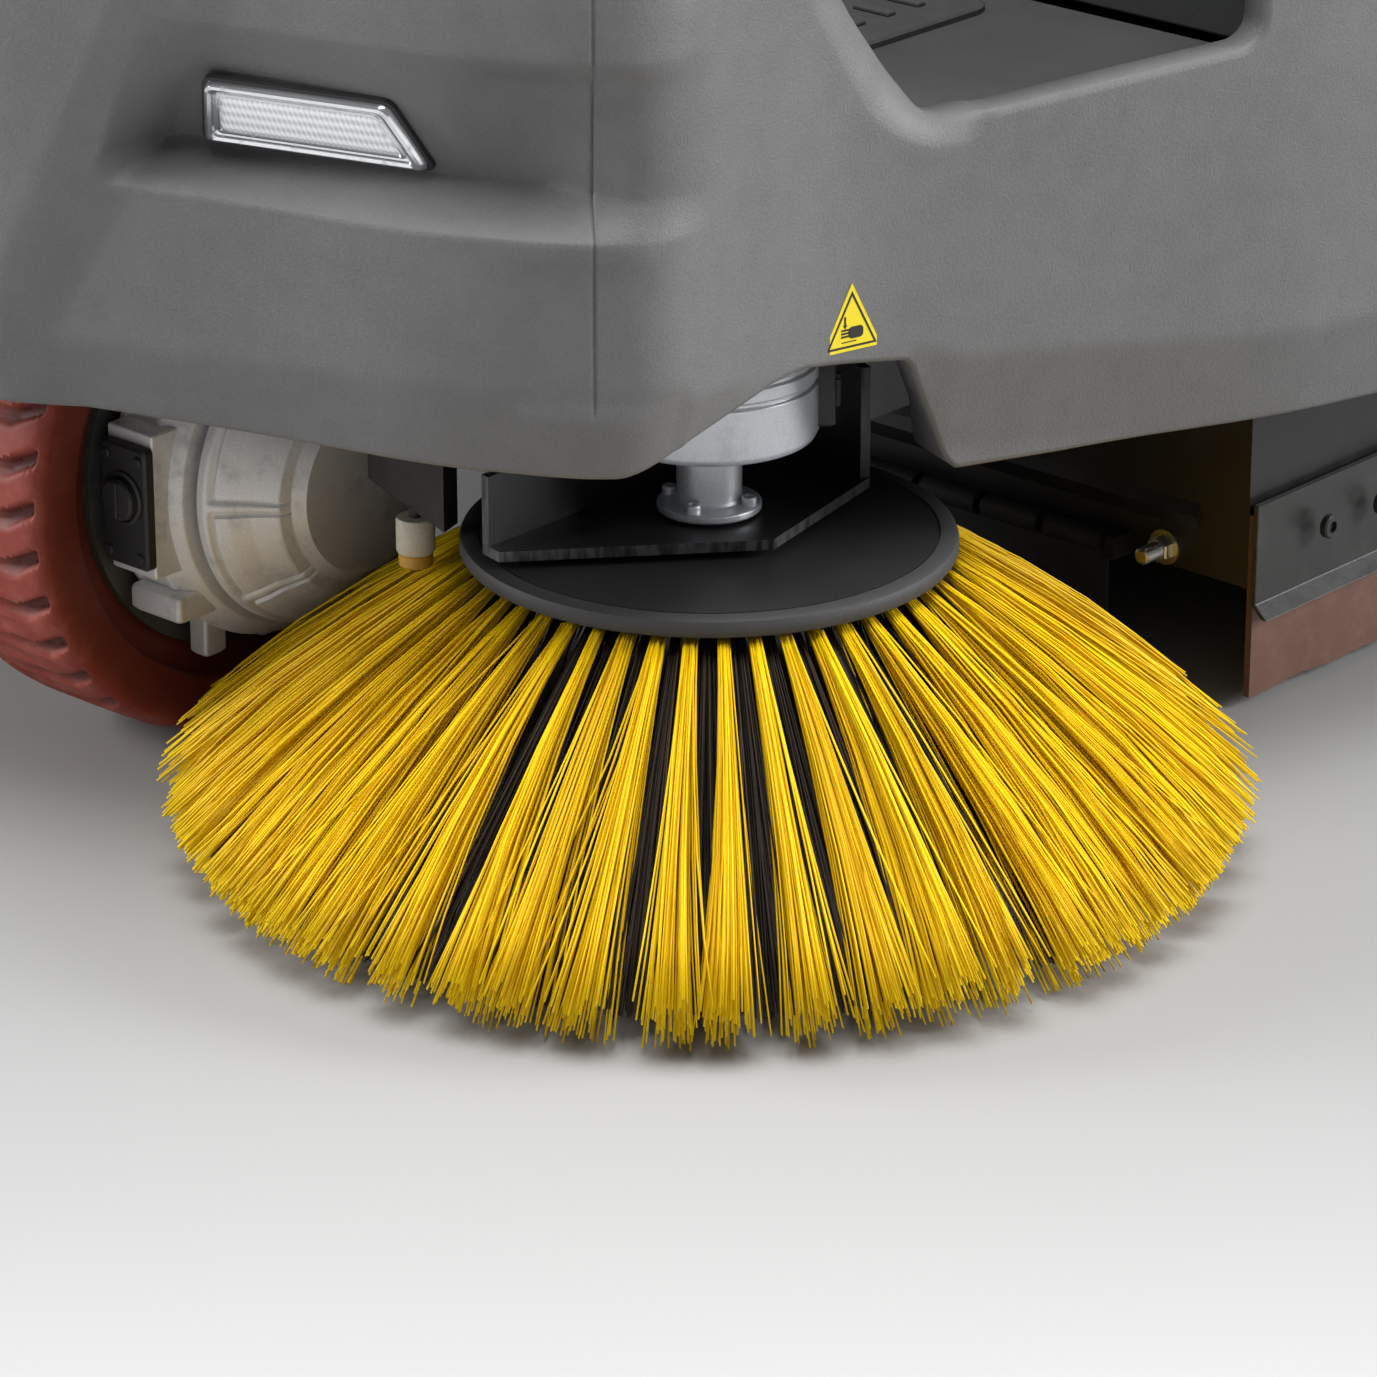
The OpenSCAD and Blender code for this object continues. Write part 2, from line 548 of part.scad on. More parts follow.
// Battery and the seat on its tilting platform.
module battery() color(dark_grey) row_frame() {
    box([-250, cross_y0 + 40, rail_z1 + bracket_t], [250, 700, 590]);
    for (x = [-180, 180]) translate([x, 420, 590]) cylinder(r = 9, h = 16, $fn = 32);
}
platform_t = 10;
platform_y1 = seat_base_y + 2;
platform_z0 = seat_base_z + gap;
rail_h = 12;
pan_t = 12;
seat_y0 = 330;
back_y = 735;
pan_z0 = platform_z0 + platform_t + rail_h + gap;
module seat_platform() color(charcoal) row_frame() {
    box([-body_half_w + 15, cowl_rear_y + 6, platform_z0], [body_half_w - 15, platform_y1, platform_z0 + platform_t]);
    // Slide rails of the seat.
    both_sides() box([140, seat_y0 + 30, platform_z0 + platform_t - 1],
        [170, back_y - 25, platform_z0 + platform_t + rail_h]);
    both_sides() difference() {
        union() {
            tube(knuckle_r, tilt_x - 50, tilt_x, tilt_y, tilt_z, 48);
            box([tilt_x - 50, tilt_y, platform_z0], [tilt_x, cowl_rear_y + 7, platform_z0 + 5]);
        }
        tube(tilt_pin_r + run_gap, tilt_x - 60, tilt_x + 1, tilt_y, tilt_z, 48);
    }
}
module seat_shell() color(black) row_frame() {
    box([-seat_half_w, seat_y0, pan_z0], [seat_half_w, back_y, pan_z0 + pan_t]);
    box([-seat_half_w + 10, back_y - 12, pan_z0], [seat_half_w - 10, back_y, pan_z0 + backrest_h - 40]);
}
round_steps = 5;
function rounded(w, l, r) = [for (q = [0:3]) for (i = [0:round_steps])
    [w / 2 + ((q == 0 || q == 3) ? 1 : -1) * (w / 2 - r) + r * cos(q * 90 + i * 90 / round_steps),
        l / 2 + (q < 2 ? 1 : -1) * (l / 2 - r) + r * sin(q * 90 + i * 90 / round_steps)]];
module cushion(low, high, r) translate(low)
    linear_extrude(high[2] - low[2]) polygon(rounded(high[0] - low[0], high[1] - low[1], r));
module seat_cushion() color(black) row_frame()
    cushion([-seat_half_w, seat_y0 - 8, pan_z0 + pan_t + gap],
        [seat_half_w, back_y - 60, pan_z0 + pan_t + gap + cushion_t], 28);
module back_cushion() color(black) row_frame()
    cushion([-seat_half_w + 15, back_y - 12 - gap - 66, pan_z0 + pan_t + cushion_t + 8],
        [seat_half_w - 15, back_y - 12 - gap, pan_z0 + backrest_h], 26);

// Suction: the filter box sits over the hopper with its flanges on the rails.
filter_y0 = 700;
filter_y1 = 1200;
filter_z1 = 470;
filter_wall = 5;
fan_at = [-130, 930];
fan_r = 90;
fan_h = 56;
module filter_box() color(black) row_frame() difference() {
    union() {
        box([-300, filter_y0, rail_z0], [300, filter_y1, filter_z1]);
        box([-rail_x, filter_y0, rail_z1], [rail_x, filter_y1, rail_z1 + bracket_t]);
    }
    box([-300 + filter_wall, filter_y0 + filter_wall, rail_z0 + filter_wall],
        [300 - filter_wall, filter_y1 - filter_wall, filter_z1 - filter_wall]);
    box([-280, filter_y0 + 20, rail_z0 - 1], [280, filter_y1 - 20, rail_z0 + filter_wall + 1]);
    translate([fan_at[0], fan_at[1], filter_z1 - 10]) cylinder(r = 40, h = 20, $fn = 64);
}
pleats = 14;
module flat_filter() color(white) row_frame() {
    box([-290, filter_y0 + 40, rail_z0 + filter_wall], [290, filter_y0 + 340, rail_z0 + filter_wall + 20]);
    for (i = [0:pleats - 1])
        box([-270 + i * 40, filter_y0 + 50, rail_z0 + filter_wall + 20],
            [-250 + i * 40, filter_y0 + 330, rail_z0 + filter_wall + 120]);
}
module fan_housing() color(dark_grey) row_frame() translate([fan_at[0], fan_at[1], filter_z1]) difference() {
    union() {
        cylinder(r = fan_r, h = fan_h, $fn = 96);
        translate([0, 0, fan_h]) cylinder(r = 48, h = 62, $fn = 64);
        translate([0, 40, 0]) cube([fan_r + 40, fan_r - 40, fan_h]);
    }
    translate([0, 0, 4]) cylinder(r = fan_r - 4, h = fan_h - 8, $fn = 96);
    translate([0, 0, -1]) cylinder(r = 40, h = 10, $fn = 64);
    translate([0, 0, fan_h - 5]) cylinder(r = 6 + run_gap, h = 40, $fn = 48);
    translate([0, 44, 4]) cube([fan_r + 50, fan_r - 48, fan_h - 8]);
}
fan_blades = 9;
module fan_impeller() color(aluminium) row_frame() translate([fan_at[0], fan_at[1], filter_z1]) {
    translate([0, 0, fan_h - 12]) cylinder(r = fan_r - 12, h = 4, $fn = 96);
    translate([0, 0, fan_h - 12]) cylinder(r = 6, h = 38, $fn = 48);
    for (i = [0:fan_blades - 1]) rotate([0, 0, i * 360 / fan_blades])
        translate([44, -1.5, 10]) cube([30, 3, fan_h - 20]);
}
module control_box() color(aluminium) row_frame() {
    box([60, 960, filter_z1], [270, 1160, filter_z1 + 60]);
    for (i = [0:8]) box([66 + i * 24, 965, filter_z1 + 60], [72 + i * 24, 1155, filter_z1 + 80]);
}

// Steered drive unit: fork, gearbox, motor and wheel turn about the vertical shaft.
gearbox_x0 = front_face_x + 1;
gearbox_x1 = 50;
ring_x1 = 55;
motor_x1 = 95;
motor_r = 76;
motor_mid_r = 61;
motor_end_r = 42;
axle_r = 15;
front_rim_r = 100;
crown_z0 = 298;
crown_r = 95;
fork_x0 = 20;
fork_x1 = 44;
module steering_fork() color(steel_black) row_frame() difference() {
    union() {
        translate([0, 0, crown_z0]) cylinder(r = crown_r, h = 9, $fn = 96);
        translate([0, 0, crown_z0]) cylinder(r = steer_shaft_r, h = rail_z1 - crown_z0, $fn = 96);
        box([fork_x0, -46, front_r + 60], [fork_x1, 46, crown_z0 + 2]);
    }
    tube(gearbox_r + gap, 0, 80, 0, front_r);
}
module drive_gearbox() color(aluminium) row_frame() difference() {
    union() {
        translate([0, 0, front_r]) along_x() rotate_extrude($fn = 96) polygon([[0, gearbox_x0],
            [gearbox_r, gearbox_x0], [gearbox_r, gearbox_x1 - 14], [gearbox_r - 8, gearbox_x1], [0, gearbox_x1]]);
        // Feet under the housing.
        for (y = [-44, -7, 30]) box([gearbox_x0 + 4, y, 48], [gearbox_x1 - 25, y + 14, 90]);
        // Flat pad that carries the terminal cover.
        box([14, -gearbox_r - 4, front_r - 34], [44, -60, front_r + 34]);
    }
    tube(axle_r + run_gap, 0, gearbox_x0 + 30, 0, front_r);
}
module drive_motor() color(aluminium) row_frame() translate([0, 0, front_r]) along_x() rotate_extrude($fn = 96)
    polygon([[0, gearbox_x1], [motor_r - 8, gearbox_x1], [motor_r - 8, ring_x1], [motor_r, ring_x1],
        [motor_r - 2, ring_x1 + 4], [motor_mid_r, ring_x1 + 21], [motor_end_r + 6, motor_x1 - 6],
        [motor_end_r, motor_x1], [0, motor_x1]]);
module terminal_cover() color(black) row_frame() {
    box([15, -gearbox_r - 10, front_r - 30], [45, -gearbox_r - 4, front_r + 30]);
    translate([30, -gearbox_r - 9, front_r + 4]) rotate([90, 0, 0]) cylinder(r = 12, h = 6, $fn = 48);
}
rim_bolts = 10;
module front_rim() color(dark_grey) row_frame() translate([0, 0, front_r]) difference() {
    union() {
        along_x() rotate_extrude($fn = 96) polygon([[0, front_face_x - 30], [70, front_face_x - 30],
            [78, front_face_x - 8], [86, front_face_x - 2], [front_rim_r - gap, front_face_x],
            [front_rim_r - gap, front_face_x - front_w], [86, front_face_x - front_w],
            [80, front_face_x - 40], [0, front_face_x - 40]]);
        tube(axle_r, front_face_x - 34, gearbox_x0 + 28, 0, 0);
    }
    for (i = [0:rim_bolts - 1]) rotate([i * 360 / rim_bolts, 0, 0])
        tube(5, -80, 40, 0, 62, 24);
}
tread_n = 36;
module tyre(r, inner_r, x0, x1) along_x() rotate_extrude($fn = 96)
    polygon([[inner_r, x0], [r - 12, x0], [r - 4, x0 + 4], [r, x0 + 12], [r, x1 - 12], [r - 4, x1 - 4],
        [r - 12, x1], [inner_r, x1]]);
module front_tyre() color(red) row_frame() translate([0, 0, front_r]) difference() {
    tyre(front_r, front_rim_r, front_face_x - front_w, front_face_x);
    for (i = [0:tread_n - 1]) rotate([i * 360 / tread_n, 0, 0])
        translate([front_face_x - 22, -2, front_r - 6]) cube([30, 4, 10]);
}
rear_rim_r = 85;
rear_wheel_x0 = rail_x + 10;
module rear_rim() translate([0, wheelbase, rear_r]) along_x()
    rotate_extrude($fn = 96) polygon([[stub_r + run_gap, rear_wheel_x0], [30, rear_wheel_x0],
        [30, rear_wheel_x0 + 26], [70, rear_wheel_x0 + 26], [72, rear_wheel_x0], [rear_rim_r - gap, rear_wheel_x0],
        [rear_rim_r - gap, rear_wheel_x0 + rear_w], [76, rear_wheel_x0 + rear_w], [70, rear_wheel_x0 + 36],
        [30, rear_wheel_x0 + 36], [26, rear_wheel_x0 + 60], [stub_r + run_gap, rear_wheel_x0 + 60]]);
module rear_tyre() translate([0, wheelbase, rear_r])
    tyre(rear_r, rear_rim_r, rear_wheel_x0, rear_wheel_x0 + rear_w);
module rear_rim_left() color(dark_grey) row_frame() rear_rim();
module rear_rim_right() color(dark_grey) row_frame() mirror([1, 0, 0]) rear_rim();
module rear_tyre_left() color(black) row_frame() rear_tyre();
module rear_tyre_right() color(black) row_frame() mirror([1, 0, 0]) rear_tyre();

// Side brush: lift mount, parallel links, carrier plate, gear motor, hub, disc, bristles.
plate_z0 = 157;
plate_t = 5;
plate_z1 = plate_z0 + plate_t;
link_x0 = 252;
link_x1 = 264;
lug_t = 10;
pin_r = 4;
link_up_z = 222;
link_low_z = 190;
mount_y = 282;
arm_pin_y = mount_y - link_l;
brush_motor_z0 = 199;
brush_motor_z1 = 284;
spindle_r = 15;
shaft_r = 8;
module lugs(y0, y1, z0, z1) for (x = [link_x0 - gap - lug_t, link_x1 + gap]) box([x, y0, z0], [x + lug_t, y1, z1]);
module link_pins(y) for (z = [link_low_z, link_up_z])
    tube(pin_r, link_x0 - gap - 4, link_x1 + gap + 4, y, z, 32);
// Fixed gear motors: brush lift, broom lift, broom drive, and the steering gear under the dash.
gear_bracket_z = 545;
module gear_motors() color(aluminium) row_frame() {
    tube(20, link_x1 + gap + lug_t, 325, mount_y, link_up_z, 64);
    tube(30, deck_half_w, 420, arm_y, arm_z, 64);
    difference() {
        tube(45, -446, -deck_half_w, arm_y, arm_z);
        tube(motor_shaft_r + run_gap, -deck_half_w - 12, -deck_half_w + 1, arm_y, arm_z, 64);
    }
    difference() {
        union() {
            column_line() translate([-35, -30, -gear_h]) cube([70, 60, gear_h]);
            // Bracket to the footwell's front wall.
            box([-30, -112, gear_bracket_z], [30, toe_y - panel_t - gap, gear_bracket_z + 25]);
        }
        column_line() translate([0, 0, 10 - gear_h])
            cylinder(r = shaft_gear_r + run_gap, h = gear_h, $fn = 48);
    }
}
module brush_link(z) difference() {
    union() {
        box([link_x0, arm_pin_y, z - 7], [link_x1, mount_y, z + 7]);
        for (y = [arm_pin_y, mount_y]) tube(9, link_x0, link_x1, y, z, 48);
    }
    for (y = [arm_pin_y, mount_y]) tube(pin_r + run_gap, link_x0 - 1, link_x1 + 1, y, z, 48);
}
module brush_link_upper() color(steel_black) row_frame() brush_link(link_up_z);
module brush_link_lower() color(steel_black) row_frame() brush_link(link_low_z);
flange_z1 = 216;
plate_outline = [[222, -57], [235, -60], [316, 34], [296, 124], [230, 150], [222, 150]];
module brush_arm() color(black) row_frame() difference() {
    union() {
        translate([0, 0, plate_z0]) linear_extrude(plate_t) polygon(plate_outline);
        // Upturned rear edge and left edge.
        translate([0, 0, plate_z0]) linear_extrude(flange_z1 - plate_z0)
            polygon([[296, 124], [230, 150], [222, 150], [222, 145], [229, 145], [294, 119.5]]);
        translate([0, 0, plate_z0]) linear_extrude(38) polygon([[222, -57], [227, -58], [227, 90], [222, 90]]);
        lugs(135, arm_pin_y + 12, link_low_z - 12, link_up_z + 12);
        link_pins(arm_pin_y);
    }
    translate([brush_x, brush_y, 0]) cylinder(r = shaft_r + 4, h = 400, $fn = 48);
}
module side_brush_motor() color(aluminium) row_frame() translate([brush_x, brush_y, 0]) difference() {
    union() {
        translate([0, 0, plate_z1]) cylinder(r = 24, h = 5, $fn = 64);
        translate([0, 0, plate_z1]) cylinder(r = spindle_r, h = brush_motor_z0 - plate_z1 + 1, $fn = 64);
        rotate_extrude($fn = 96) polygon([[0, brush_motor_z0], [brush_motor_r - 4, brush_motor_z0],
            [brush_motor_r, brush_motor_z0 + 4], [brush_motor_r, 227], [brush_motor_r - 1.5, 228],
            [brush_motor_r, 229], [brush_motor_r, 236], [brush_motor_r - 1.5, 237], [brush_motor_r, 238],
            [brush_motor_r, brush_motor_z1 - 6], [brush_motor_r - 6, brush_motor_z1], [0, brush_motor_z1]]);
        rotate([0, 0, 42]) translate([brush_motor_r - 6, -10, brush_motor_z0 + 6]) cube([13, 20, 32]);
        for (a = [20, 110, 200, 290]) rotate([0, 0, a]) translate([19.5, 0, plate_z1 + 4])
            cylinder(r = 3.5, h = 5, $fn = 24);
    }
    translate([0, 0, plate_z0]) cylinder(r = shaft_r + run_gap, h = 40, $fn = 64);
}
module side_brush_hub() color(steel_black) row_frame() translate([brush_x, brush_y, 0]) {
    translate([0, 0, disc_top_z]) cylinder(r = 30, h = plate_z0 - disc_top_z - 1, $fn = 64);
    translate([0, 0, disc_top_z]) cylinder(r = shaft_r, h = 40, $fn = 64);
}
module side_brush_disc() color(charcoal) row_frame() translate([brush_x, brush_y, 0])
    rotate_extrude($fn = 128) polygon([[0, disc_top_z - disc_t], [disc_r - 5, disc_top_z - disc_t],
        [disc_r, disc_top_z - disc_t + 2], [disc_r, disc_top_z - 2], [disc_r - 2, disc_top_z], [0, disc_top_z]]);
module side_brush_bristles() color(yellow) row_frame() translate([brush_x, brush_y, 0])
    rotate_extrude($fn = 128) polygon([[disc_r - 22, disc_top_z - disc_t], [disc_r - 5, disc_top_z - disc_t],
        [brush_r, 36], [brush_r - 20, tip_z], [brush_r - 52, tip_z]]);
// Roller under the box beside the drive wheel.
module guide_roller() color(white) row_frame() translate([168, -45, 134]) difference() {
    cylinder(r = 9, h = 24, $fn = 48);
    translate([0, 0, -1]) cylinder(r = 3 + run_gap, h = 30, $fn = 48);
}

// Broom deck, its skirts and flap.
skirt_z0 = 3;
skirt_z1 = 100;
skirt_t = 4;
deck_z0 = 62;
deck_t = 4;
deck_y1 = deck_y + deck_l;
clamp_z0 = 56;
clamp_z1 = 107;
flap_z = 68;
flap_y = deck_y - 8;
flap_half_l = 280;
arm_y = 590;
arm_z = 225;
broom_arm_x0 = 325;
broom_arm_x1 = 333;
motor_shaft_r = 8;
module deck_housing() color(black) row_frame() {
    difference() {
        box([-deck_half_w, deck_y, deck_z0], [deck_half_w, deck_y1, rail_z0]);
        box([-deck_half_w + deck_t, deck_y + deck_t, deck_z0 - 9], [deck_half_w - deck_t, deck_y1 + 9, rail_z0 - deck_t]);
        tube(motor_shaft_r + run_gap, -deck_half_w - 9, -deck_half_w + 9, arm_y, arm_z);
    }
    // Tail bar, flap hinge ears with their rod, and the left pivot pin.
    box([-deck_half_w, deck_y1 - 8, 50], [deck_half_w, deck_y1, deck_z0]);
    both_sides() box([flap_half_l + 2, deck_y - 14, flap_z - 6], [flap_half_l + 8, deck_y + 1, flap_z + 6]);
    tube(3, -flap_half_l - 4, flap_half_l + 4, flap_y, flap_z, 32);
    tube(motor_shaft_r, broom_arm_x0 + 1, deck_half_w - 1, arm_y, arm_z, 48);
    // Pressed ridge across the front plate.
    both_sides() side_cut([[deck_y - 3, 92], [deck_y, 98], [deck_y, 84]], 120, deck_half_w - 30);
}
module deck_skirts() color(skirt_brown) row_frame() {
    both_sides() box([deck_half_w + gap, deck_y, skirt_z0], [deck_half_w + gap + skirt_t, deck_y1, skirt_z1]);
    box([-deck_half_w + 4, deck_y1 + gap, skirt_z0], [deck_half_w - 4, deck_y1 + gap + skirt_t, 60]);
}
clamp_screws = [378, 422, 500, 580];
module deck_clamps() color(steel_black) row_frame() both_sides() {
    x = deck_half_w + skirt_t + 2 * gap;
    box([x, deck_y - 3, clamp_z0], [x + 3, deck_y1 - 12, clamp_z1]);
    side = [[x, clamp_z0], [x + 3, clamp_z0], [x + 10, clamp_z0 - 7], [x + 7, clamp_z0 - 7]];
    translate([0, deck_y1 - 12, 0]) rotate([90, 0, 0]) linear_extrude(deck_l - 9) polygon(side);
}
module deck_bolts() color(chrome) row_frame() {
    both_sides() for (y = clamp_screws) tube(6, deck_half_w + skirt_t + 2 * gap + 3, deck_half_w + skirt_t + 12, y, 86, 6);
    both_sides() translate([309, deck_y, 71]) rotate([90, 0, 0]) {
        cylinder(r = 9, h = 2, $fn = 32);
        cylinder(r = 6, h = 9, $fn = 6);
        cylinder(r = 3.5, h = 20, $fn = 32);
    }
}
module front_flap() color(black) row_frame() difference() {
    union() {
        box([-flap_half_l, flap_y - 2, skirt_z0], [flap_half_l, flap_y + 2, flap_z]);
        tube(6, -flap_half_l, flap_half_l, flap_y, flap_z, 48);
    }
    tube(3 + run_gap, -flap_half_l - 1, flap_half_l + 1, flap_y, flap_z, 48);
}

// Roller broom on two arms, driven by a belt from the arms' own pivot.
core_r = 38;
core_shaft_r = 10;
broom_pulley_r = 45;
motor_pulley_r = 25;
belt_t = 4;
belt_x0 = -348;
belt_x1 = -338;
broom_z = broom_r + 2;
module link_outline(r0, r1) hull() {
    translate([broom_y, broom_z]) circle(r = r0, $fn = 64);
    translate([arm_y, arm_z]) circle(r = r1, $fn = 64);
}
module yz_plate(x0, x1) translate([x0, 0, 0]) rotate([90, 0, 90]) linear_extrude(x1 - x0) children();
module broom_arms() color(steel_black) row_frame() {
    both_sides() difference() {
        yz_plate(broom_arm_x0, broom_arm_x1) polygon([[broom_y - 18, broom_z - 14], [broom_y, broom_z - 20],
            [broom_y + 18, broom_z - 14], [arm_y + 18, arm_z - 8], [arm_y + 14, arm_z + 16], [arm_y - 14, arm_z + 18],
            [broom_y - 20, broom_z + 14]]);
        tube(core_shaft_r + run_gap, broom_arm_x0 - 1, broom_arm_x1 + 1, broom_y, broom_z, 64);
        tube(motor_shaft_r + run_gap, broom_arm_x0 - 1, broom_arm_x1 + 1, arm_y, arm_z, 64);
    }
    tube(12, -broom_arm_x0, broom_arm_x0, arm_y, arm_z, 64);
}
module broom_core() color(dark_grey) row_frame() {
    tube(core_r, -broom_half_l - 8, broom_half_l + 8, broom_y, broom_z);
    tube(core_shaft_r, -broom_arm_x1 - 4, broom_arm_x1, broom_y, broom_z, 64);
    tube(broom_pulley_r, belt_x0 - 2, belt_x1 + 2, broom_y, broom_z);
    tube(core_shaft_r, belt_x1, -broom_arm_x0, broom_y, broom_z, 64);
}
module broom_bristles() color(black) row_frame() difference() {
    tube(broom_r, -broom_half_l, broom_half_l, broom_y, broom_z);
    tube(core_r + gap, -broom_half_l - 1, broom_half_l + 1, broom_y, broom_z);
}
// The motor's armature, its shaft and the small pulley.
module broom_drive() color(aluminium) row_frame() {
    tube(motor_pulley_r, belt_x0, belt_x1, arm_y, arm_z);
    tube(motor_shaft_r, -deck_half_w - 6, -broom_arm_x0 - 1, arm_y, arm_z, 64);
}

belt_gap = 0.25;
module drive_belt() color(black) row_frame() yz_plate(belt_x0, belt_x1) difference() {
    link_outline(broom_pulley_r + belt_gap + belt_t, motor_pulley_r + belt_gap + belt_t);
    link_outline(broom_pulley_r + belt_gap, motor_pulley_r + belt_gap);
}

// Hopper drawer on runners under the rails, with rollers to stand on when it is out.
hopper_z0 = 50;
hopper_wall = 5;
roller_r = 22;
roller_y = hopper_y0 + hopper_l - 60;
roller_z = roller_r + 2.5;
roller_x = 250;
module hopper_bin() color(dark_grey) row_frame() {
    difference() {
        box([-hopper_half_w, hopper_y0, hopper_z0], [hopper_half_w, hopper_y0 + hopper_l, hopper_z1]);
        box([-hopper_half_w + hopper_wall, hopper_y0 + hopper_wall, hopper_z0 + hopper_wall],
            [hopper_half_w - hopper_wall, hopper_y0 + hopper_l - hopper_wall, hopper_z1 + 9]);
        box([-hopper_half_w + hopper_wall, hopper_y0 - 9, hopper_z0 + 34],
            [hopper_half_w - hopper_wall, hopper_y0 + 20, hopper_z1 + 9]);
    }
    both_sides() {
        box([hopper_half_w - 1, hopper_y0 + 4, runner_z + gap], [hopper_half_w + 5, hopper_y0 + hopper_l - 4, runner_z + 6]);
        // Forks of the rollers, each with its pin.
        for (x = [roller_x - 16, roller_x + 12])
            box([x, roller_y - 12, roller_z - 8], [x + 4, roller_y + 12, hopper_z0 + 1]);
        tube(4, roller_x - 14, roller_x + 14, roller_y, roller_z, 32);
    }
    // Handle bar on two stems.
    y1 = hopper_y0 + hopper_l;
    for (x = [-110, 90]) box([x, y1 - 1, 142], [x + 20, y1 + 26, 158]);
    tube(11, -130, 130, y1 + 34, 150, 48);
}
module hopper_rollers() color(black) row_frame() both_sides() difference() {
    tube(roller_r, roller_x - 11.5, roller_x + 11.5, roller_y, roller_z, 64);
    tube(4 + run_gap, roller_x - 20, roller_x + 20, roller_y, roller_z, 32);
}

chassis_frame();
front_cowl();
warning_label();
headlamp_bezels();
headlamp_lenses();
footwell_tub();
floor_mat();
dash_console();
display_panel();
steering_column();
steering_wheel();
emergency_stop();
key_switch();
program_dial();
accelerator_pedal();
brake_pedal();
rear_body();
rear_bumper();
rear_hood();
battery();
filter_box();
flat_filter();
fan_housing();
fan_impeller();
control_box();
seat_platform();
seat_shell();
seat_cushion();
back_cushion();
steering_fork();
drive_gearbox();
drive_motor();
terminal_cover();
front_rim();
front_tyre();
rear_rim_left();
rear_rim_right();
rear_tyre_left();
rear_tyre_right();
gear_motors();
brush_link_upper();
brush_link_lower();
brush_arm();
side_brush_motor();
side_brush_hub();
side_brush_disc();
side_brush_bristles();
guide_roller();
deck_housing();
deck_skirts();
deck_clamps();
deck_bolts();
front_flap();
broom_arms();
broom_core();
broom_bristles();
broom_drive();
drive_belt();
hopper_bin();
hopper_rollers();
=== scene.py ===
"""Ride-on sweeper with one side brush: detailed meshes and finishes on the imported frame, and a studio."""

import json
import logging
import math
import random
from dataclasses import dataclass
from enum import Enum
from typing import Callable, Iterable, Optional, Sequence, Union

import bmesh
import bpy
import numpy as np
from mathutils import Matrix, Vector

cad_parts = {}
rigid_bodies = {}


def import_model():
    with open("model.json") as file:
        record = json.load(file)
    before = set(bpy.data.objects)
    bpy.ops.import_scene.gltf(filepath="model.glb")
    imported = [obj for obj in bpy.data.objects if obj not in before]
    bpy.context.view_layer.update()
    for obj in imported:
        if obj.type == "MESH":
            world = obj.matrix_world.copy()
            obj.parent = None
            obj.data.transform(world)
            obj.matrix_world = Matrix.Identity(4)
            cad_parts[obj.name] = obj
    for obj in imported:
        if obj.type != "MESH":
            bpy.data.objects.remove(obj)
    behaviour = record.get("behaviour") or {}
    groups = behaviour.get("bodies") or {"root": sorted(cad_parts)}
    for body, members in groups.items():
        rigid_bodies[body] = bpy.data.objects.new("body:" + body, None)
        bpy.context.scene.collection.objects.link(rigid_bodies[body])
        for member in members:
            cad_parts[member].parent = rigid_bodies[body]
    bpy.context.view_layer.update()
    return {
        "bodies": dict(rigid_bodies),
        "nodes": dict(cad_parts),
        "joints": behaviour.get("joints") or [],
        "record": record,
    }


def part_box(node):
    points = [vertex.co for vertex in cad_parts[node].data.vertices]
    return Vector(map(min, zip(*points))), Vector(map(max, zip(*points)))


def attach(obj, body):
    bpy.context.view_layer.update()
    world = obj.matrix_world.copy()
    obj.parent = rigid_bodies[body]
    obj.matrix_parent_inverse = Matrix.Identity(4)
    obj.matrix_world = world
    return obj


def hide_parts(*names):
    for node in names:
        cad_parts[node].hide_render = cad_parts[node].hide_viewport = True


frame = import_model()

LOG = logging.getLogger("sweeper")
MM = 0.001
TAU = 2 * math.pi
Colour = tuple[float, float, float]
Point = Sequence[float]


# ---------------------------------------------------------------- shader sockets


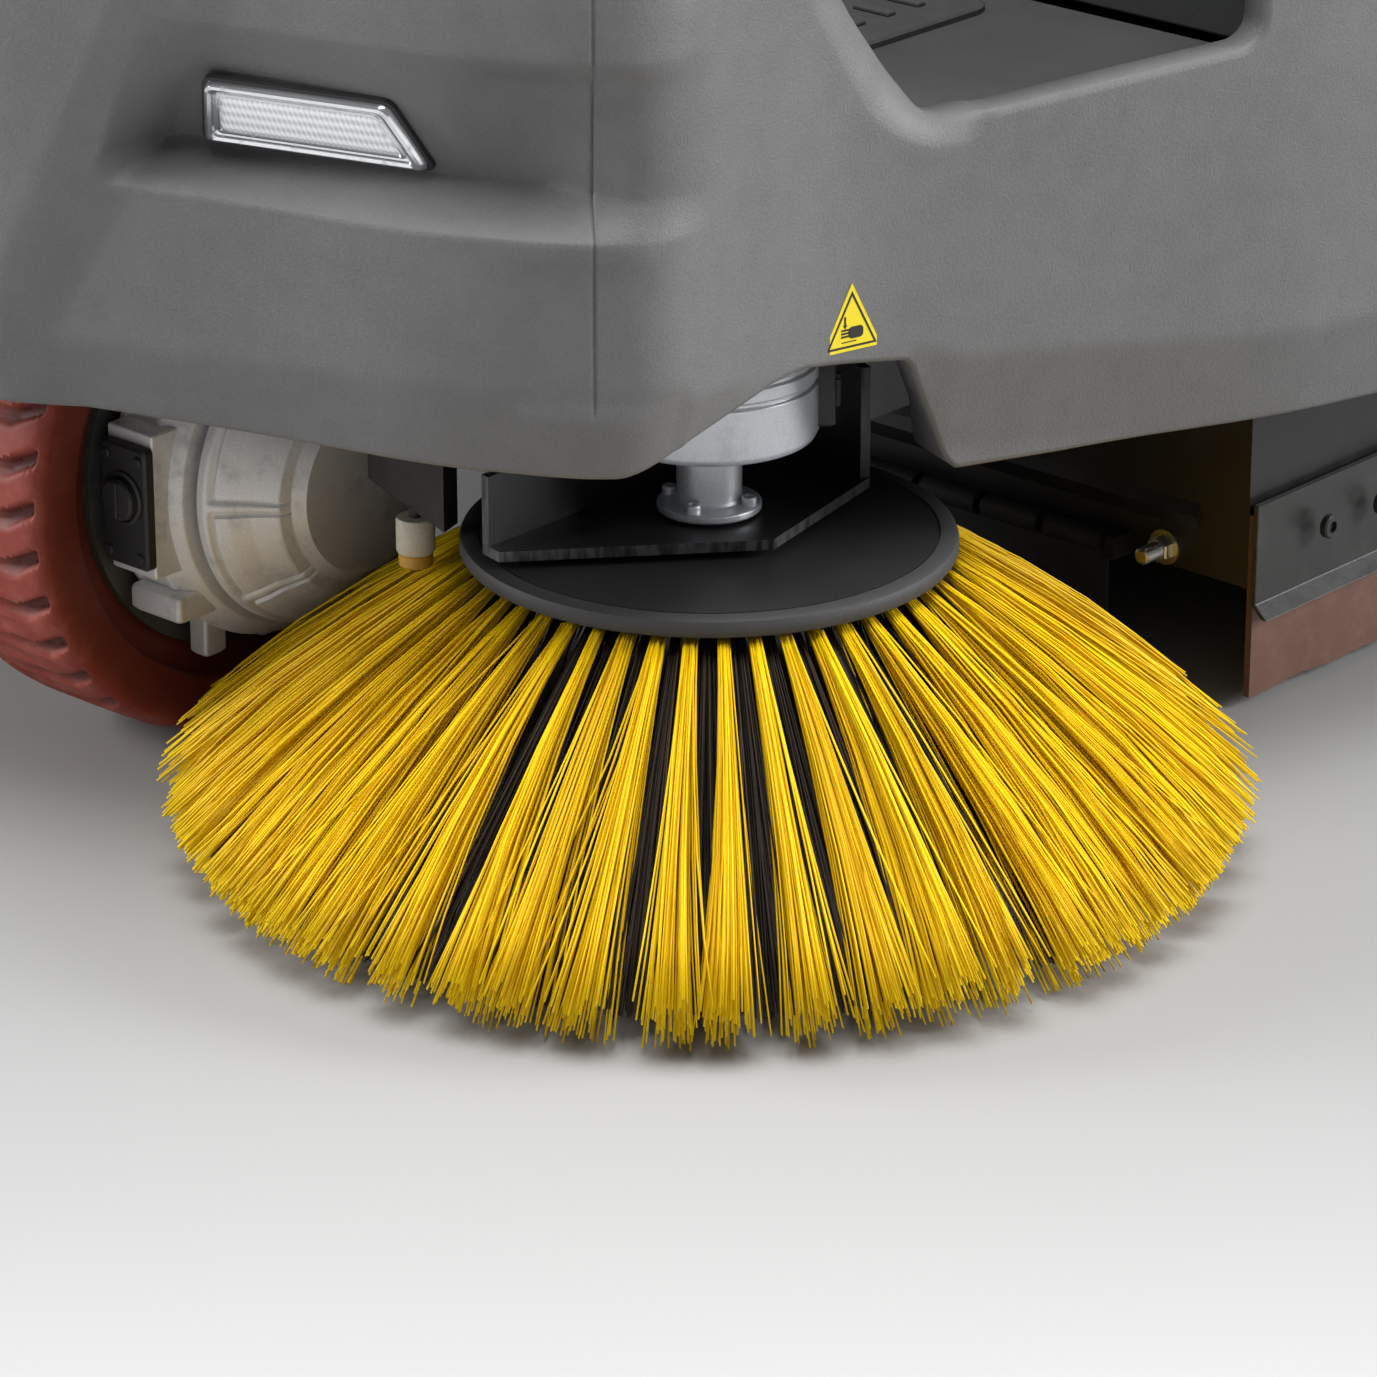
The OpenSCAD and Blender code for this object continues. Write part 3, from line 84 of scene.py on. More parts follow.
class Value:
    """A number socket of a material; arithmetic on it adds Math nodes."""

    def __init__(self, shader: "Shader", socket: bpy.types.NodeSocket) -> None:
        """Keep the socket and the shader it belongs to."""
        self.shader = shader
        self.socket = socket

    def _math(self, operation: str, other: "Number", flipped: bool = False) -> "Value":
        """Add one Math node.

        Args:
            operation: The node's operation.
            other: The other operand.
            flipped: Whether the other operand comes first.

        Returns:
            The node's result.
        """
        first, second = (other, self) if flipped else (self, other)
        node = self.shader.add("ShaderNodeMath", {"operation": operation}, {0: first, 1: second})
        return Value(self.shader, node.outputs[0])

    def __add__(self, other: "Number") -> "Value":
        """Return self + other."""
        return self._math("ADD", other)

    def __radd__(self, other: "Number") -> "Value":
        """Return other + self."""
        return self._math("ADD", other, True)

    def __sub__(self, other: "Number") -> "Value":
        """Return self - other."""
        return self._math("SUBTRACT", other)

    def __rsub__(self, other: "Number") -> "Value":
        """Return other - self."""
        return self._math("SUBTRACT", other, True)

    def __mul__(self, other: "Number") -> "Value":
        """Return self * other."""
        return self._math("MULTIPLY", other)

    def __rmul__(self, other: "Number") -> "Value":
        """Return other * self."""
        return self._math("MULTIPLY", other, True)

    def __truediv__(self, other: "Number") -> "Value":
        """Return self / other."""
        return self._math("DIVIDE", other)

    def __gt__(self, other: "Number") -> "Value":
        """Return 1 where self is greater, else 0."""
        return self._math("GREATER_THAN", other)

    def sine(self) -> "Value":
        """Return the sine of the value."""
        return self._math("SINE", 0.0)

    def between(self, low: float, high: float) -> "Value":
        """Return 0 below low, 1 above high and a smooth ramp between them."""
        node = self.shader.add(
            "ShaderNodeMapRange",
            {"interpolation_type": "SMOOTHSTEP"},
            {"Value": self, "From Min": low, "From Max": high},
        )
        return Value(self.shader, node.outputs["Result"])


Number = Union[Value, float]


class Shader:
    """One material and the nodes that make it."""

    def __init__(self, name: str) -> None:
        """Start an empty material with its Principled shader and output."""
        self.material = bpy.data.materials.new(name)
        self.material.use_nodes = True
        self.tree = self.material.node_tree
        self.tree.nodes.clear()
        self.output = self.tree.nodes.new("ShaderNodeOutputMaterial")
        self.principled = self.tree.nodes.new("ShaderNodeBsdfPrincipled")
        self.tree.links.new(self.principled.outputs[0], self.output.inputs["Surface"])
        self._place = self.tree.nodes.new("ShaderNodeTexCoord").outputs["Object"]

    def add(self, kind: str, settings: dict, inputs: dict) -> bpy.types.Node:
        """Add any node.

        Args:
            kind: The node's type name.
            settings: Attributes set before the sockets; "stops" fills a colour ramp.
            inputs: Socket name or number to a value, a Value or a socket.

        Returns:
            The new node.
        """
        node = self.tree.nodes.new(kind)
        for key, value in settings.items():
            if key == "stops":
                self._fill_ramp(node, value)
            else:
                setattr(node, key, value)
        for key, value in inputs.items():
            self.feed(node.inputs[key], value)
        return node

    def _fill_ramp(self, node: bpy.types.Node, stops: Sequence[tuple[float, Colour]]) -> None:
        """Set a colour ramp's stops."""
        elements = node.color_ramp.elements
        while len(elements) < len(stops):
            elements.new(0.5)
        for element, (position, colour) in zip(elements, stops):
            element.position = position
            element.color = (*colour, 1.0)

    def feed(self, socket: bpy.types.NodeSocket, value: object) -> None:
        """Set or link one input socket."""
        if isinstance(value, Value):
            self.tree.links.new(value.socket, socket)
        elif isinstance(value, bpy.types.NodeSocket):
            self.tree.links.new(value, socket)
        elif isinstance(value, tuple) and len(value) == 3 and socket.type == "RGBA":
            socket.default_value = (*value, 1.0)
        else:
            socket.default_value = value

    def noise(self, size_mm: float, detail: float = 2.0, stretch: Optional[Colour] = None,
              roughness: float = 0.5) -> Value:
        """Return noise whose features are about size_mm wide.

        Args:
            size_mm: Feature size.
            detail: Octaves.
            stretch: Per-axis factor on the coordinates.
            roughness: Weight of the finer octaves.
        """
        place = self._place if stretch is None else self.add(
            "ShaderNodeVectorMath", {"operation": "MULTIPLY"}, {0: self._place, 1: stretch}).outputs[0]
        node = self.add("ShaderNodeTexNoise", {}, {
            "Vector": place, "Scale": 1 / (size_mm * MM), "Detail": detail, "Roughness": roughness})
        return Value(self, node.outputs[0])

    def cells(self, size_mm: float) -> Value:
        """Return the distance to the nearest of cells about size_mm wide."""
        node = self.add("ShaderNodeTexVoronoi", {"feature": "F1"}, {
            "Vector": self._place, "Scale": 1 / (size_mm * MM)})
        return Value(self, node.outputs["Distance"])

    def axis(self, index: int) -> Value:
        """Return one coordinate of the place on the piece, in metres."""
        return Value(self, self.add("ShaderNodeSeparateXYZ", {}, {0: self._place}).outputs[index])

    def attribute(self, name: str) -> Value:
        """Return a number stored on the mesh."""
        node = self.add("ShaderNodeAttribute", {"attribute_name": name}, {})
        return Value(self, node.outputs["Fac"])

    def edges(self) -> Value:
        """Return 0 in hollows and flats and 1 on worn outer edges."""
        node = self.add("ShaderNodeNewGeometry", {}, {})
        return Value(self, node.outputs["Pointiness"]).between(0.52, 0.60)

    def blend(self, factor: Number, first: object, second: object) -> bpy.types.NodeSocket:
        """Return a colour that goes from first to second with factor."""
        node = self.add("ShaderNodeMix", {"data_type": "RGBA"}, {0: factor, 6: first, 7: second})
        return node.outputs[2]

    def bump(self, height: Value, depth_mm: float, strength: float = 1.0) -> bpy.types.NodeSocket:
        """Return the normal of a relief depth_mm deep."""
        node = self.add("ShaderNodeBump", {}, {
            "Height": height, "Distance": depth_mm * MM, "Strength": strength})
        return node.outputs[0]

    def surface(self, **inputs: object) -> bpy.types.Material:
        """Feed the Principled shader, underscores standing for spaces, and return the material."""
        for key, value in inputs.items():
            self.feed(self.principled.inputs[key.replace("_", " ")], value)
        return self.material


# ---------------------------------------------------------------- finishes


def shaded(colour: Colour, factor: float) -> Colour:
    """Return the colour made lighter or darker by factor."""
    return tuple(min(1.0, channel * factor) for channel in colour)


@dataclass(frozen=True)
class Moulded:
    """Moulded plastic with a fine leather grain and faint clouding."""

    name: str
    colour: Colour
    grain_mm: float = 1.15
    depth_mm: float = 0.30
    roughness: float = 0.55

    def make(self) -> bpy.types.Material:
        """Return the material."""
        s = Shader(self.name)
        grain = s.noise(self.grain_mm, 2.0)
        cloud = s.noise(90.0, 3.0)
        dust = s.noise(14.0, 4.0)
        tone = (grain * 0.45 + cloud * 0.3 + dust * 0.25).between(0.3, 0.7)
        base = s.blend(tone, shaded(self.colour, 0.86), shaded(self.colour, 1.12))
        return s.surface(
            Base_Color=base,
            Roughness=self.roughness + (cloud - 0.5) * 0.2 + (grain - 0.5) * 0.15,
            Normal=s.bump(grain, self.depth_mm, 0.8),
        )


@dataclass(frozen=True)
class Cast:
    """Cast metal: speckled skin, grime in patches and bright worn edges."""

    name: str
    colour: Colour
    metallic: float = 0.55
    roughness: float = 0.48
    grime: float = 0.45

    def make(self) -> bpy.types.Material:
        """Return the material."""
        s = Shader(self.name)
        speck = s.noise(0.9, 3.0)
        pits = s.cells(2.2)
        stain = s.noise(22.0, 5.0, roughness=0.62).between(0.5, 0.72)
        clean = s.blend(speck, shaded(self.colour, 0.8), shaded(self.colour, 1.15))
        dirty = s.blend(stain * self.grime, clean, shaded(self.colour, 0.28))
        base = s.blend(s.edges() * 0.6, dirty, shaded(self.colour, 1.35))
        return s.surface(
            Base_Color=base,
            Metallic=self.metallic,
            Roughness=self.roughness + stain * 0.25 + (speck - 0.5) * 0.2,
            Normal=s.bump(speck + pits * 0.5, 0.12, 0.7),
        )


@dataclass(frozen=True)
class Painted:
    """Painted or coated steel with slight orange peel and rubbed edges."""

    name: str
    colour: Colour
    edge: Colour = (0.32, 0.31, 0.30)
    roughness: float = 0.42
    wear: float = 0.7

    def make(self) -> bpy.types.Material:
        """Return the material."""
        s = Shader(self.name)
        peel = s.noise(2.4, 2.0)
        dust = s.noise(26.0, 5.0, roughness=0.65)
        scuff = s.noise(3.0, 4.0, stretch=(1.0, 1.0, 0.18))
        worn = s.edges() * scuff.between(0.35, 0.6) * self.wear
        coat = s.blend(dust.between(0.45, 0.8) * 0.5, self.colour, shaded(self.colour, 2.6))
        return s.surface(
            Base_Color=s.blend(worn, coat, self.edge),
            Metallic=worn * 0.7,
            Roughness=self.roughness + (dust - 0.5) * 0.4,
            Normal=s.bump(peel + scuff * 0.4, 0.08, 0.6),
        )


@dataclass(frozen=True)
class Rubber:
    """Rubber with a chalky bloom, rubbing marks and painted shade where the mesh's stored mask is set."""

    name: str
    colour: Colour
    bloom: Colour
    roughness: float = 0.72
    bloom_share: float = 0.5

    def make(self) -> bpy.types.Material:
        """Return the material."""
        s = Shader(self.name)
        fine = s.noise(0.8, 3.0)
        patch = s.noise(16.0, 6.0, roughness=0.7)
        chalk = (patch.between(0.4, 0.75) * 0.7 + fine.between(0.55, 0.8) * 0.3) * self.bloom_share
        clean = s.blend(chalk, self.colour, self.bloom)
        # Painted shade: where the stored mask is set (tyre sidewalls and slots) the colour darkens towards a
        # third of itself.
        return s.surface(
            Base_Color=s.blend(s.attribute("tint"), clean, shaded(self.colour, 0.3)),
            Roughness=self.roughness + (patch - 0.5) * 0.3,
            Normal=s.bump(fine + patch * 2.0, 0.16, 0.8),
        )


@dataclass(frozen=True)
class Bristle:
    """Drawn plastic filament: a tone of its own for each, dark worn tips."""

    name: str
    light: Colour
    dark: Colour
    tip: Colour
    tip_z: float

    def make(self) -> bpy.types.Material:
        """Return the material."""
        s = Shader(self.name)
        tint = s.attribute("tint")
        streak = s.noise(1.2, 2.0)
        near_floor = 1 - s.axis(2).between(self.tip_z * 0.25, self.tip_z)
        body = s.blend((tint * 0.8 + streak * 0.3).between(0.1, 1.0), self.light, self.dark)
        return s.surface(
            Base_Color=s.blend(near_floor * tint.between(0.2, 0.95) * 0.7, body, self.tip),
            Roughness=0.5 + streak * 0.12,
            Specular_IOR_Level=0.22,
            Normal=s.bump(streak, 0.05, 0.4),
        )


@dataclass(frozen=True)
class Vinyl:
    """Upholstery vinyl with a pebbled grain and polished patches."""

    name: str
    colour: Colour

    def make(self) -> bpy.types.Material:
        """Return the material."""
        s = Shader(self.name)
        pebble = s.cells(1.7)
        crease = s.noise(9.0, 4.0)
        rubbed = s.noise(60.0, 3.0).between(0.45, 0.7)
        return s.surface(
            Base_Color=s.blend(rubbed * 0.6 + pebble * 0.3, self.colour, shaded(self.colour, 2.0)),
            Roughness=0.52 - rubbed * 0.12 + (pebble - 0.5) * 0.15,
            Normal=s.bump(pebble + crease * 0.8, 0.25, 0.7),
        )


@dataclass(frozen=True)
class Polished:
    """Plated metal with hairlines and a few dull spots."""

    name: str
    colour: Colour
    roughness: float = 0.14

    def make(self) -> bpy.types.Material:
        """Return the material."""
        s = Shader(self.name)
        hair = s.noise(0.6, 2.0, stretch=(0.2, 1.0, 1.0))
        spot = s.noise(7.0, 4.0).between(0.55, 0.75)
        return s.surface(
            Base_Color=s.blend(spot * 0.4, self.colour, shaded(self.colour, 0.6)),
            Metallic=1.0,
            Roughness=self.roughness + spot * 0.2 + hair * 0.06,
            Normal=s.bump(hair, 0.03, 0.3),
        )


@dataclass(frozen=True)
class LampGlass:
    """Ribbed lamp lens: white, glossy and faintly lit from inside."""

    name: str

    def make(self) -> bpy.types.Material:
        """Return the material."""
        s = Shader(self.name)
        across = (s.axis(0) * (TAU / 0.0024)).sine() * 0.5 + 0.5
        down = (s.axis(2) * (TAU / 0.0046)).sine() * 0.5 + 0.5
        cell = across * 0.4 + down * 0.6
        return s.surface(
            Base_Color=s.blend(cell, (0.52, 0.54, 0.56), (0.90, 0.91, 0.92)),
            Roughness=0.16 + cell * 0.08,
            Normal=s.bump(cell, 0.5, 0.7),
            Emission_Color=s.blend(cell, (0.35, 0.36, 0.37), (0.75, 0.76, 0.77)),
            Emission_Strength=0.35,
        )


@dataclass(frozen=True)
class Film:
    """Printed label film or a display window."""

    name: str
    colour: Colour
    roughness: float = 0.3

    def make(self) -> bpy.types.Material:
        """Return the material."""
        s = Shader(self.name)
        speck = s.noise(0.7, 2.0)
        cloud = s.noise(12.0, 3.0)
        return s.surface(
            Base_Color=s.blend(cloud * 0.5 + speck * 0.3, self.colour, shaded(self.colour, 0.78)),
            Roughness=self.roughness + (speck - 0.5) * 0.15,
            Normal=s.bump(speck, 0.04, 0.4),
        )


@dataclass(frozen=True)
class PaperPleat:
    """Pleated filter paper, with painted shade darkening the folds."""

    name: str
    colour: Colour

    def make(self) -> bpy.types.Material:
        """Return the material."""
        s = Shader(self.name)
        pleat = (s.axis(1) * (TAU / 0.007)).sine() * 0.5 + 0.5
        fibre = s.noise(0.8, 4.0)
        # Painted shade: the base colour darkens to 0.6 in the pleats' folds.
        return s.surface(
            Base_Color=s.blend(pleat * 0.7 + fibre * 0.3, shaded(self.colour, 0.6), self.colour),
            Roughness=0.85 + (fibre - 0.5) * 0.1,
            Normal=s.bump(pleat + fibre * 0.2, 2.0, 0.8),
        )


@dataclass(frozen=True)
class PaintedShadowFloor:
    """Pale floor with a painted shadow round the machine."""

    name: str
    colour: Colour
    # The colour of the painted shadow next to the machine.
    near: Colour

    def make(self) -> bpy.types.Material:
        """Return the material, with painted shadow making it darker round the machine than in front of it."""
        s = Shader(self.name)
        cloud = s.noise(700.0, 2.0)
        # Painted shadow: darker near and behind the machine, paler towards the camera's side.
        ahead = s.axis(0) * 0.67 - s.axis(1) * 0.74
        share = (ahead + (cloud - 0.5) * 0.1).between(0.62, 1.55)
        return s.surface(
            Base_Color=s.blend(share, self.near, self.colour),
            Roughness=0.62 + cloud * 0.06,
            Specular_IOR_Level=0.25,
        )


class Finish(Enum):
    """Every finish on the machine."""

    COWL = Moulded("cowl_grained_plastic", (0.143, 0.144, 0.145))
    HOOD = Moulded("hood_grained_plastic", (0.140, 0.142, 0.144))
    BLACK_PLASTIC = Moulded("black_grained_plastic", (0.022, 0.022, 0.023), 1.0, 0.14, 0.5)
    DARK_PLASTIC = Moulded("dark_grey_plastic", (0.055, 0.057, 0.060), 1.1, 0.16, 0.52)
    DISC = Moulded("brush_disc_plastic", (0.024, 0.024, 0.025), 0.9, 0.10, 0.46)
    SAFETY_RED = Moulded("stop_button_red", (0.55, 0.02, 0.015), 0.8, 0.05, 0.32)
    ALUMINIUM = Cast("cast_aluminium", (0.86, 0.86, 0.86), 0.3, 0.45, 0.35)
    MOTOR = Cast("motor_shell_aluminium", (0.60, 0.62, 0.65), 0.6, 0.38, 0.2)
    RIM = Cast("rim_casting", (0.10, 0.105, 0.095), 0.4, 0.55, 0.6)
    STEEL = Painted("black_coated_steel", (0.013, 0.012, 0.012), wear=0.0)
    BRACKET = Painted("brush_bracket_steel", (0.010, 0.010, 0.011), (0.30, 0.29, 0.28), 0.38, 0.6)
    GREY_STEEL = Painted("grey_coated_steel", (0.05, 0.052, 0.055), wear=0.0)
    GREY_RIM = Moulded("brush_rim_plastic", (0.045, 0.045, 0.047), 1.1, 0.2, 0.6)
    CLAMP = Painted("clamp_strip_steel", (0.026, 0.025, 0.024), roughness=0.36, wear=0.0)
    TYRE_RED = Rubber("red_tyre_rubber", (0.27, 0.034, 0.020), (0.44, 0.13, 0.09), 0.62, 0.7)
    TYRE_GREY = Rubber("grey_tyre_rubber", (0.06, 0.06, 0.062), (0.14, 0.14, 0.14))
    GRIP = Rubber("grip_rubber", (0.014, 0.014, 0.014), (0.035, 0.035, 0.035), 0.6, 0.4)
    MAT = Rubber("floor_mat_rubber", (0.050, 0.050, 0.050), (0.085, 0.083, 0.08), 0.75, 0.5)
    # Painted shade: the footwell is the cowl's grey plastic, its colour darkened to stand in for the shade
    # inside it.
    TUB_PAINTED_SHADE = Moulded("footwell_plastic_painted_shade", (0.062, 0.062, 0.063))
    SKIRT = Rubber("skirt_rubber", (0.135, 0.062, 0.042), (0.22, 0.115, 0.085), 0.5, 0.6)
    FLAP = Rubber("flap_rubber", (0.016, 0.015, 0.015), (0.05, 0.045, 0.04), 0.7, 0.4)
    YELLOW_BRISTLE = Bristle("yellow_bristle", (1.0, 0.69, 0.001), (0.80, 0.46, 0.002), (0.30, 0.17, 0.01),
                             0.014)
    BLACK_BRISTLE = Bristle("black_bristle", (0.020, 0.017, 0.015), (0.10, 0.07, 0.05), (0.07, 0.05, 0.04),
                            0.03)
    BROOM_BRISTLE = Bristle("broom_bristle", (0.03, 0.03, 0.032), (0.09, 0.09, 0.095), (0.12, 0.11, 0.10),
                            0.03)
    VINYL = Vinyl("black_seat_vinyl", (0.020, 0.020, 0.021))
    CHROME = Polished("lamp_chrome", (0.80, 0.81, 0.83))
    ZINC = Polished("zinc_plated", (0.66, 0.65, 0.60), 0.28)
    LENS = LampGlass("lamp_lens")
    LABEL = Film("label_yellow", (0.93, 0.74, 0.015))
    PRINT = Film("label_print_black", (0.02, 0.018, 0.012), 0.4)
    SCREEN = Film("display_window", (0.02, 0.045, 0.04), 0.08)
    ROLLER = Moulded("roller_plastic", (0.62, 0.58, 0.48), 1.2, 0.08, 0.4)
    AMBER = Moulded("roller_amber", (0.62, 0.34, 0.04), 1.2, 0.08, 0.35)
    PAPER = PaperPleat("filter_paper", (0.78, 0.75, 0.66))
    # The floor's second colour is the painted shadow round the machine.
    FLOOR = PaintedShadowFloor("studio_floor", (0.69, 0.69, 0.69), (0.37, 0.37, 0.37))


MADE: dict[Finish, bpy.types.Material] = {}


def material(finish: Finish) -> bpy.types.Material:
    """Return the finish's material, made once."""
    if finish not in MADE:
        MADE[finish] = finish.value.make()
    return MADE[finish]


# ---------------------------------------------------------------- shaping helpers


def centre(node: str) -> Vector:
    """Return the middle of a CAD node's box, in metres."""
    low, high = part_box(node)
    return (low + high) / 2


# Wall of the moulded panels, in millimetres.
SKIN_THICK = 4
# The steering axis: the front tyre stands 28 mm to the driver's right of it.
TYRE_SIDE = -28.0
ORIGIN = Vector((centre("front_tyre").x - TYRE_SIDE * MM, centre("front_tyre").y, 0.0))


def step(x: np.ndarray, low: float, high: float) -> np.ndarray:
    """Return a smooth ramp from 0 at low to 1 at high."""
    t = np.clip((np.asarray(x, float) - low) / (high - low), 0.0, 1.0)
    return t * t * (3 - 2 * t)


def along(a: Point, b: Point, t: float) -> Vector:
    """Return the point at share t between two points."""
    return Vector(a) * (1 - t) + Vector(b) * t


def spline(points: Sequence[Point], steps: int) -> list[Vector]:
    """Return a smooth curve through the points, with steps spans between each two."""
    p = [Vector(q) for q in points]
    out: list[Vector] = []
    for i in range(len(p) - 1):
        a, b, c, d = p[max(i - 1, 0)], p[i], p[i + 1], p[min(i + 2, len(p) - 1)]
        for k in range(steps):
            t = k / steps
            out.append(0.5 * (2 * b + (c - a) * t + (2 * a - 5 * b + 4 * c - d) * t * t
                              + (3 * b - a - 3 * c + d) * t ** 3))
    out.append(p[-1])
    return out


def rounded_box(half_x: float, half_y: float, radius: float, steps: int = 8) -> list[tuple[float, float]]:
    """Return the outline of a rectangle with rounded corners, about the origin."""
    out = []
    for q in range(4):
        cx = (half_x - radius) * (1 if q in (0, 3) else -1)
        cy = (half_y - radius) * (1 if q in (0, 1) else -1)
        for i in range(steps + 1):
            a = math.radians(90 * (q + i / steps))
            out.append((cx + radius * math.cos(a), cy + radius * math.sin(a)))
    return out


class Form:
    """A mesh under construction, in the machine's own millimetres."""

    def __init__(self) -> None:
        """Start empty."""
        self.points: list[tuple[float, float, float]] = []
        self.faces: list[tuple[int, ...]] = []
        self.values: list[float] = []

    def add(self, points: Iterable[Point], faces: Iterable[Sequence[int]]) -> "Form":
        """Add points and the faces between them."""
        base = len(self.points)
        self.points.extend(tuple(p) for p in points)
        self.faces.extend(tuple(i + base for i in f) for f in faces)
        return self

    def rows(self, rows: Sequence[Sequence[Point]], ring: bool = False, loop: bool = False,
             caps: bool = False) -> "Form":
        """Skin rows of equally many points.

        Args:
            rows: The rows of points.
            ring: Whether each row closes on itself.
            loop: Whether the last row joins the first.
            caps: Whether the first and last rows are filled.

        Returns:
            The form itself.
        """
        n, m = len(rows), len(rows[0])
        faces: list[tuple[int, ...]] = []
        for r in range(n if loop else n - 1):
            for c in range(m if ring else m - 1):
                r1, c1 = (r + 1) % n, (c + 1) % m
                faces.append((r * m + c, r * m + c1, r1 * m + c1, r1 * m + c))
        if caps:
            faces.append(tuple(range(m - 1, -1, -1)))
            faces.append(tuple((n - 1) * m + i for i in range(m)))
        return self.add([p for row in rows for p in row], faces)

    def revolve(self, profile: Sequence[tuple[float, float]], at: Point, axis: str = "z", steps: int = 64,
                relief: Optional[Callable[[float, float, float], float]] = None) -> "Form":
        """Turn a profile of (radius, height) about an axis through at.

        Args:
            profile: Radius and height pairs, from the bottom up.
            at: A point on the axis, at height 0.
            axis: "x", "y" or "z".
            steps: Points round the axis.
            relief: Extra radius from angle, radius and height.

        Returns:
            The form itself.
        """
        rows = []
        for radius, height in profile:
            row = []
            for i in range(steps):
                a = TAU * i / steps
                r = radius + (relief(a, radius, height) if relief else 0.0)
                u, v = r * math.cos(a), r * math.sin(a)
                local = {"z": (u, v, height), "x": (height, u, v), "y": (v, height, u)}[axis]
                row.append(Vector(local) + Vector(at))
            rows.append(row)
        return self.rows(rows, ring=True, caps=profile[0][0] > 0.01)

    def tube(self, path: Sequence[Point], radius: float, sides: int = 12, closed: bool = False) -> "Form":
        """Sweep a round bar of that radius along a path."""
        p = [Vector(q) for q in path]
        n = len(p)
        rows = []
        side = None
        for i in range(n):
            before = p[i - 1] if (closed or i) else p[i]
            after = p[(i + 1) % n] if (closed or i < n - 1) else p[i]
            ahead = (after - before).normalized()
            if side is None:
                side = ahead.orthogonal().normalized()
            side = (side - ahead * side.dot(ahead)).normalized()
            up = ahead.cross(side)
            rows.append([p[i] + (side * math.cos(TAU * k / sides) + up * math.sin(TAU * k / sides)) * radius
                         for k in range(sides)])
        return self.rows(rows, ring=True, loop=closed, caps=not closed)

    def prism(self, outline: Sequence[Point], low: float, high: float,
              frame: Optional[Matrix] = None) -> "Form":
        """Raise an outline from low to high, in a frame of its own where one is given."""
        matrix = frame or Matrix.Identity(4)
        rows = [[matrix @ Vector((q[0], q[1], z)) for q in outline] for z in (low, high)]
        return self.rows(rows, ring=True, caps=True)

    def block(self, low: Point, high: Point, round_off: float = 0.0) -> "Form":
        """Add a box, with chamfered ends where round_off is given."""
        cx, cy = (low[0] + high[0]) / 2, (low[1] + high[1]) / 2
        hx, hy = (high[0] - low[0]) / 2, (high[1] - low[1]) / 2
        if round_off <= 0:
            outline = [(hx, hy), (-hx, hy), (-hx, -hy), (hx, -hy)]
            return self.prism([(cx + x, cy + y) for x, y in outline], low[2], high[2])
        rows = []
        for inset, z in ((round_off, low[2]), (0.0, low[2] + round_off), (0.0, high[2] - round_off),
                         (round_off * 0.3, high[2] - round_off * 0.3), (round_off, high[2])):
            rows.append([(cx + x, cy + y, z) for x, y in
                         rounded_box(hx - inset, hy - inset, max(round_off, 0.5), 5)])
        return self.rows(rows, ring=True, caps=True)

    def mirrored(self) -> "Form":
        """Add the mirror image across the machine's middle plane."""
        return self.add([(-p[0], p[1], p[2]) for p in self.points], [tuple(reversed(f)) for f in self.faces])

    def make(self, name: str, body: str, slot: str, finish: Finish, *replaced: str, bevel: float = 0.0,
             sharp: float = 35.0, weld: float = 0.0) -> bpy.types.Object:
        """Turn the form into a piece that rides on a body.

        Args:
            name: The piece's name.
            body: The CAD body it rides on.
            slot: The record's material slot.
            finish: Its finish.
            replaced: CAD nodes that it stands for.
            bevel: Width of rounded edges, in mm.
            sharp: Angle above which an edge stays sharp.
            weld: Distance below which points are joined, in mm.

        Returns:
            The object.
        """
        mesh = bpy.data.meshes.new(name)
        mesh.from_pydata([(p[0] * MM + ORIGIN.x, p[1] * MM + ORIGIN.y, p[2] * MM) for p in self.points],
                         [], self.faces)
        work = bmesh.new()
        work.from_mesh(mesh)
        if weld:
            bmesh.ops.remove_doubles(work, verts=work.verts, dist=weld * MM)
        bmesh.ops.recalc_face_normals(work, faces=work.faces)
        work.to_mesh(mesh)
        work.free()
        # The stored mask: each filament's own tone on bristles, painted shade on tyre sidewalls and slots.
        if self.values:
            layer = mesh.attributes.new("tint", "FLOAT", "POINT")
            layer.data.foreach_set("value", np.array(self.values, np.float32))
        mesh.shade_smooth()
        mesh.set_sharp_from_angle(angle=math.radians(sharp))
        piece = bpy.data.objects.new(name, mesh)
        bpy.context.scene.collection.objects.link(piece)
        if bevel:
            soften(piece, bevel, weld=False)
        return settle(piece, body, slot, finish, *replaced)


def settle(piece: bpy.types.Object, body: str, slot: str, finish: Finish, *replaced: str) -> bpy.types.Object:
    """Dress a piece, let it ride on its body and hide the nodes it stands for."""
    piece.data.materials.clear()
    piece.data.materials.append(material(finish))
    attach(piece, body)
    if replaced:
        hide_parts(*replaced)
    LOG.info("piece %s: %d faces on %s", piece.name, len(piece.data.polygons), body)
    return piece


def soften(piece: bpy.types.Object, width: float, weld: bool = True, segments: int = 2) -> None:
    """Round a piece's hard edges by width, in mm, with modifiers alone."""
    if weld:
        piece.modifiers.new("weld", "WELD").merge_threshold = 0.00002
    bevel = piece.modifiers.new("bevel", "BEVEL")
    bevel.width = width * MM
    bevel.segments = segments
    bevel.limit_method = "ANGLE"
    bevel.angle_limit = math.radians(32)
    bevel.use_clamp_overlap = True
    bevel.miter_outer = "MITER_ARC"
    normals = piece.modifiers.new("normals", "WEIGHTED_NORMAL")
    normals.keep_sharp = True


def dress(node: str, finish: Finish, width: float = 0.8) -> bpy.types.Object:
    """Keep a CAD node, round its edges and give it a finish."""
    piece = frame["nodes"][node]
    piece.data.materials.clear()
    piece.data.materials.append(material(finish))
    if width:
        soften(piece, width)
    LOG.info("node %s dressed as %s", node, finish.name)
    return piece


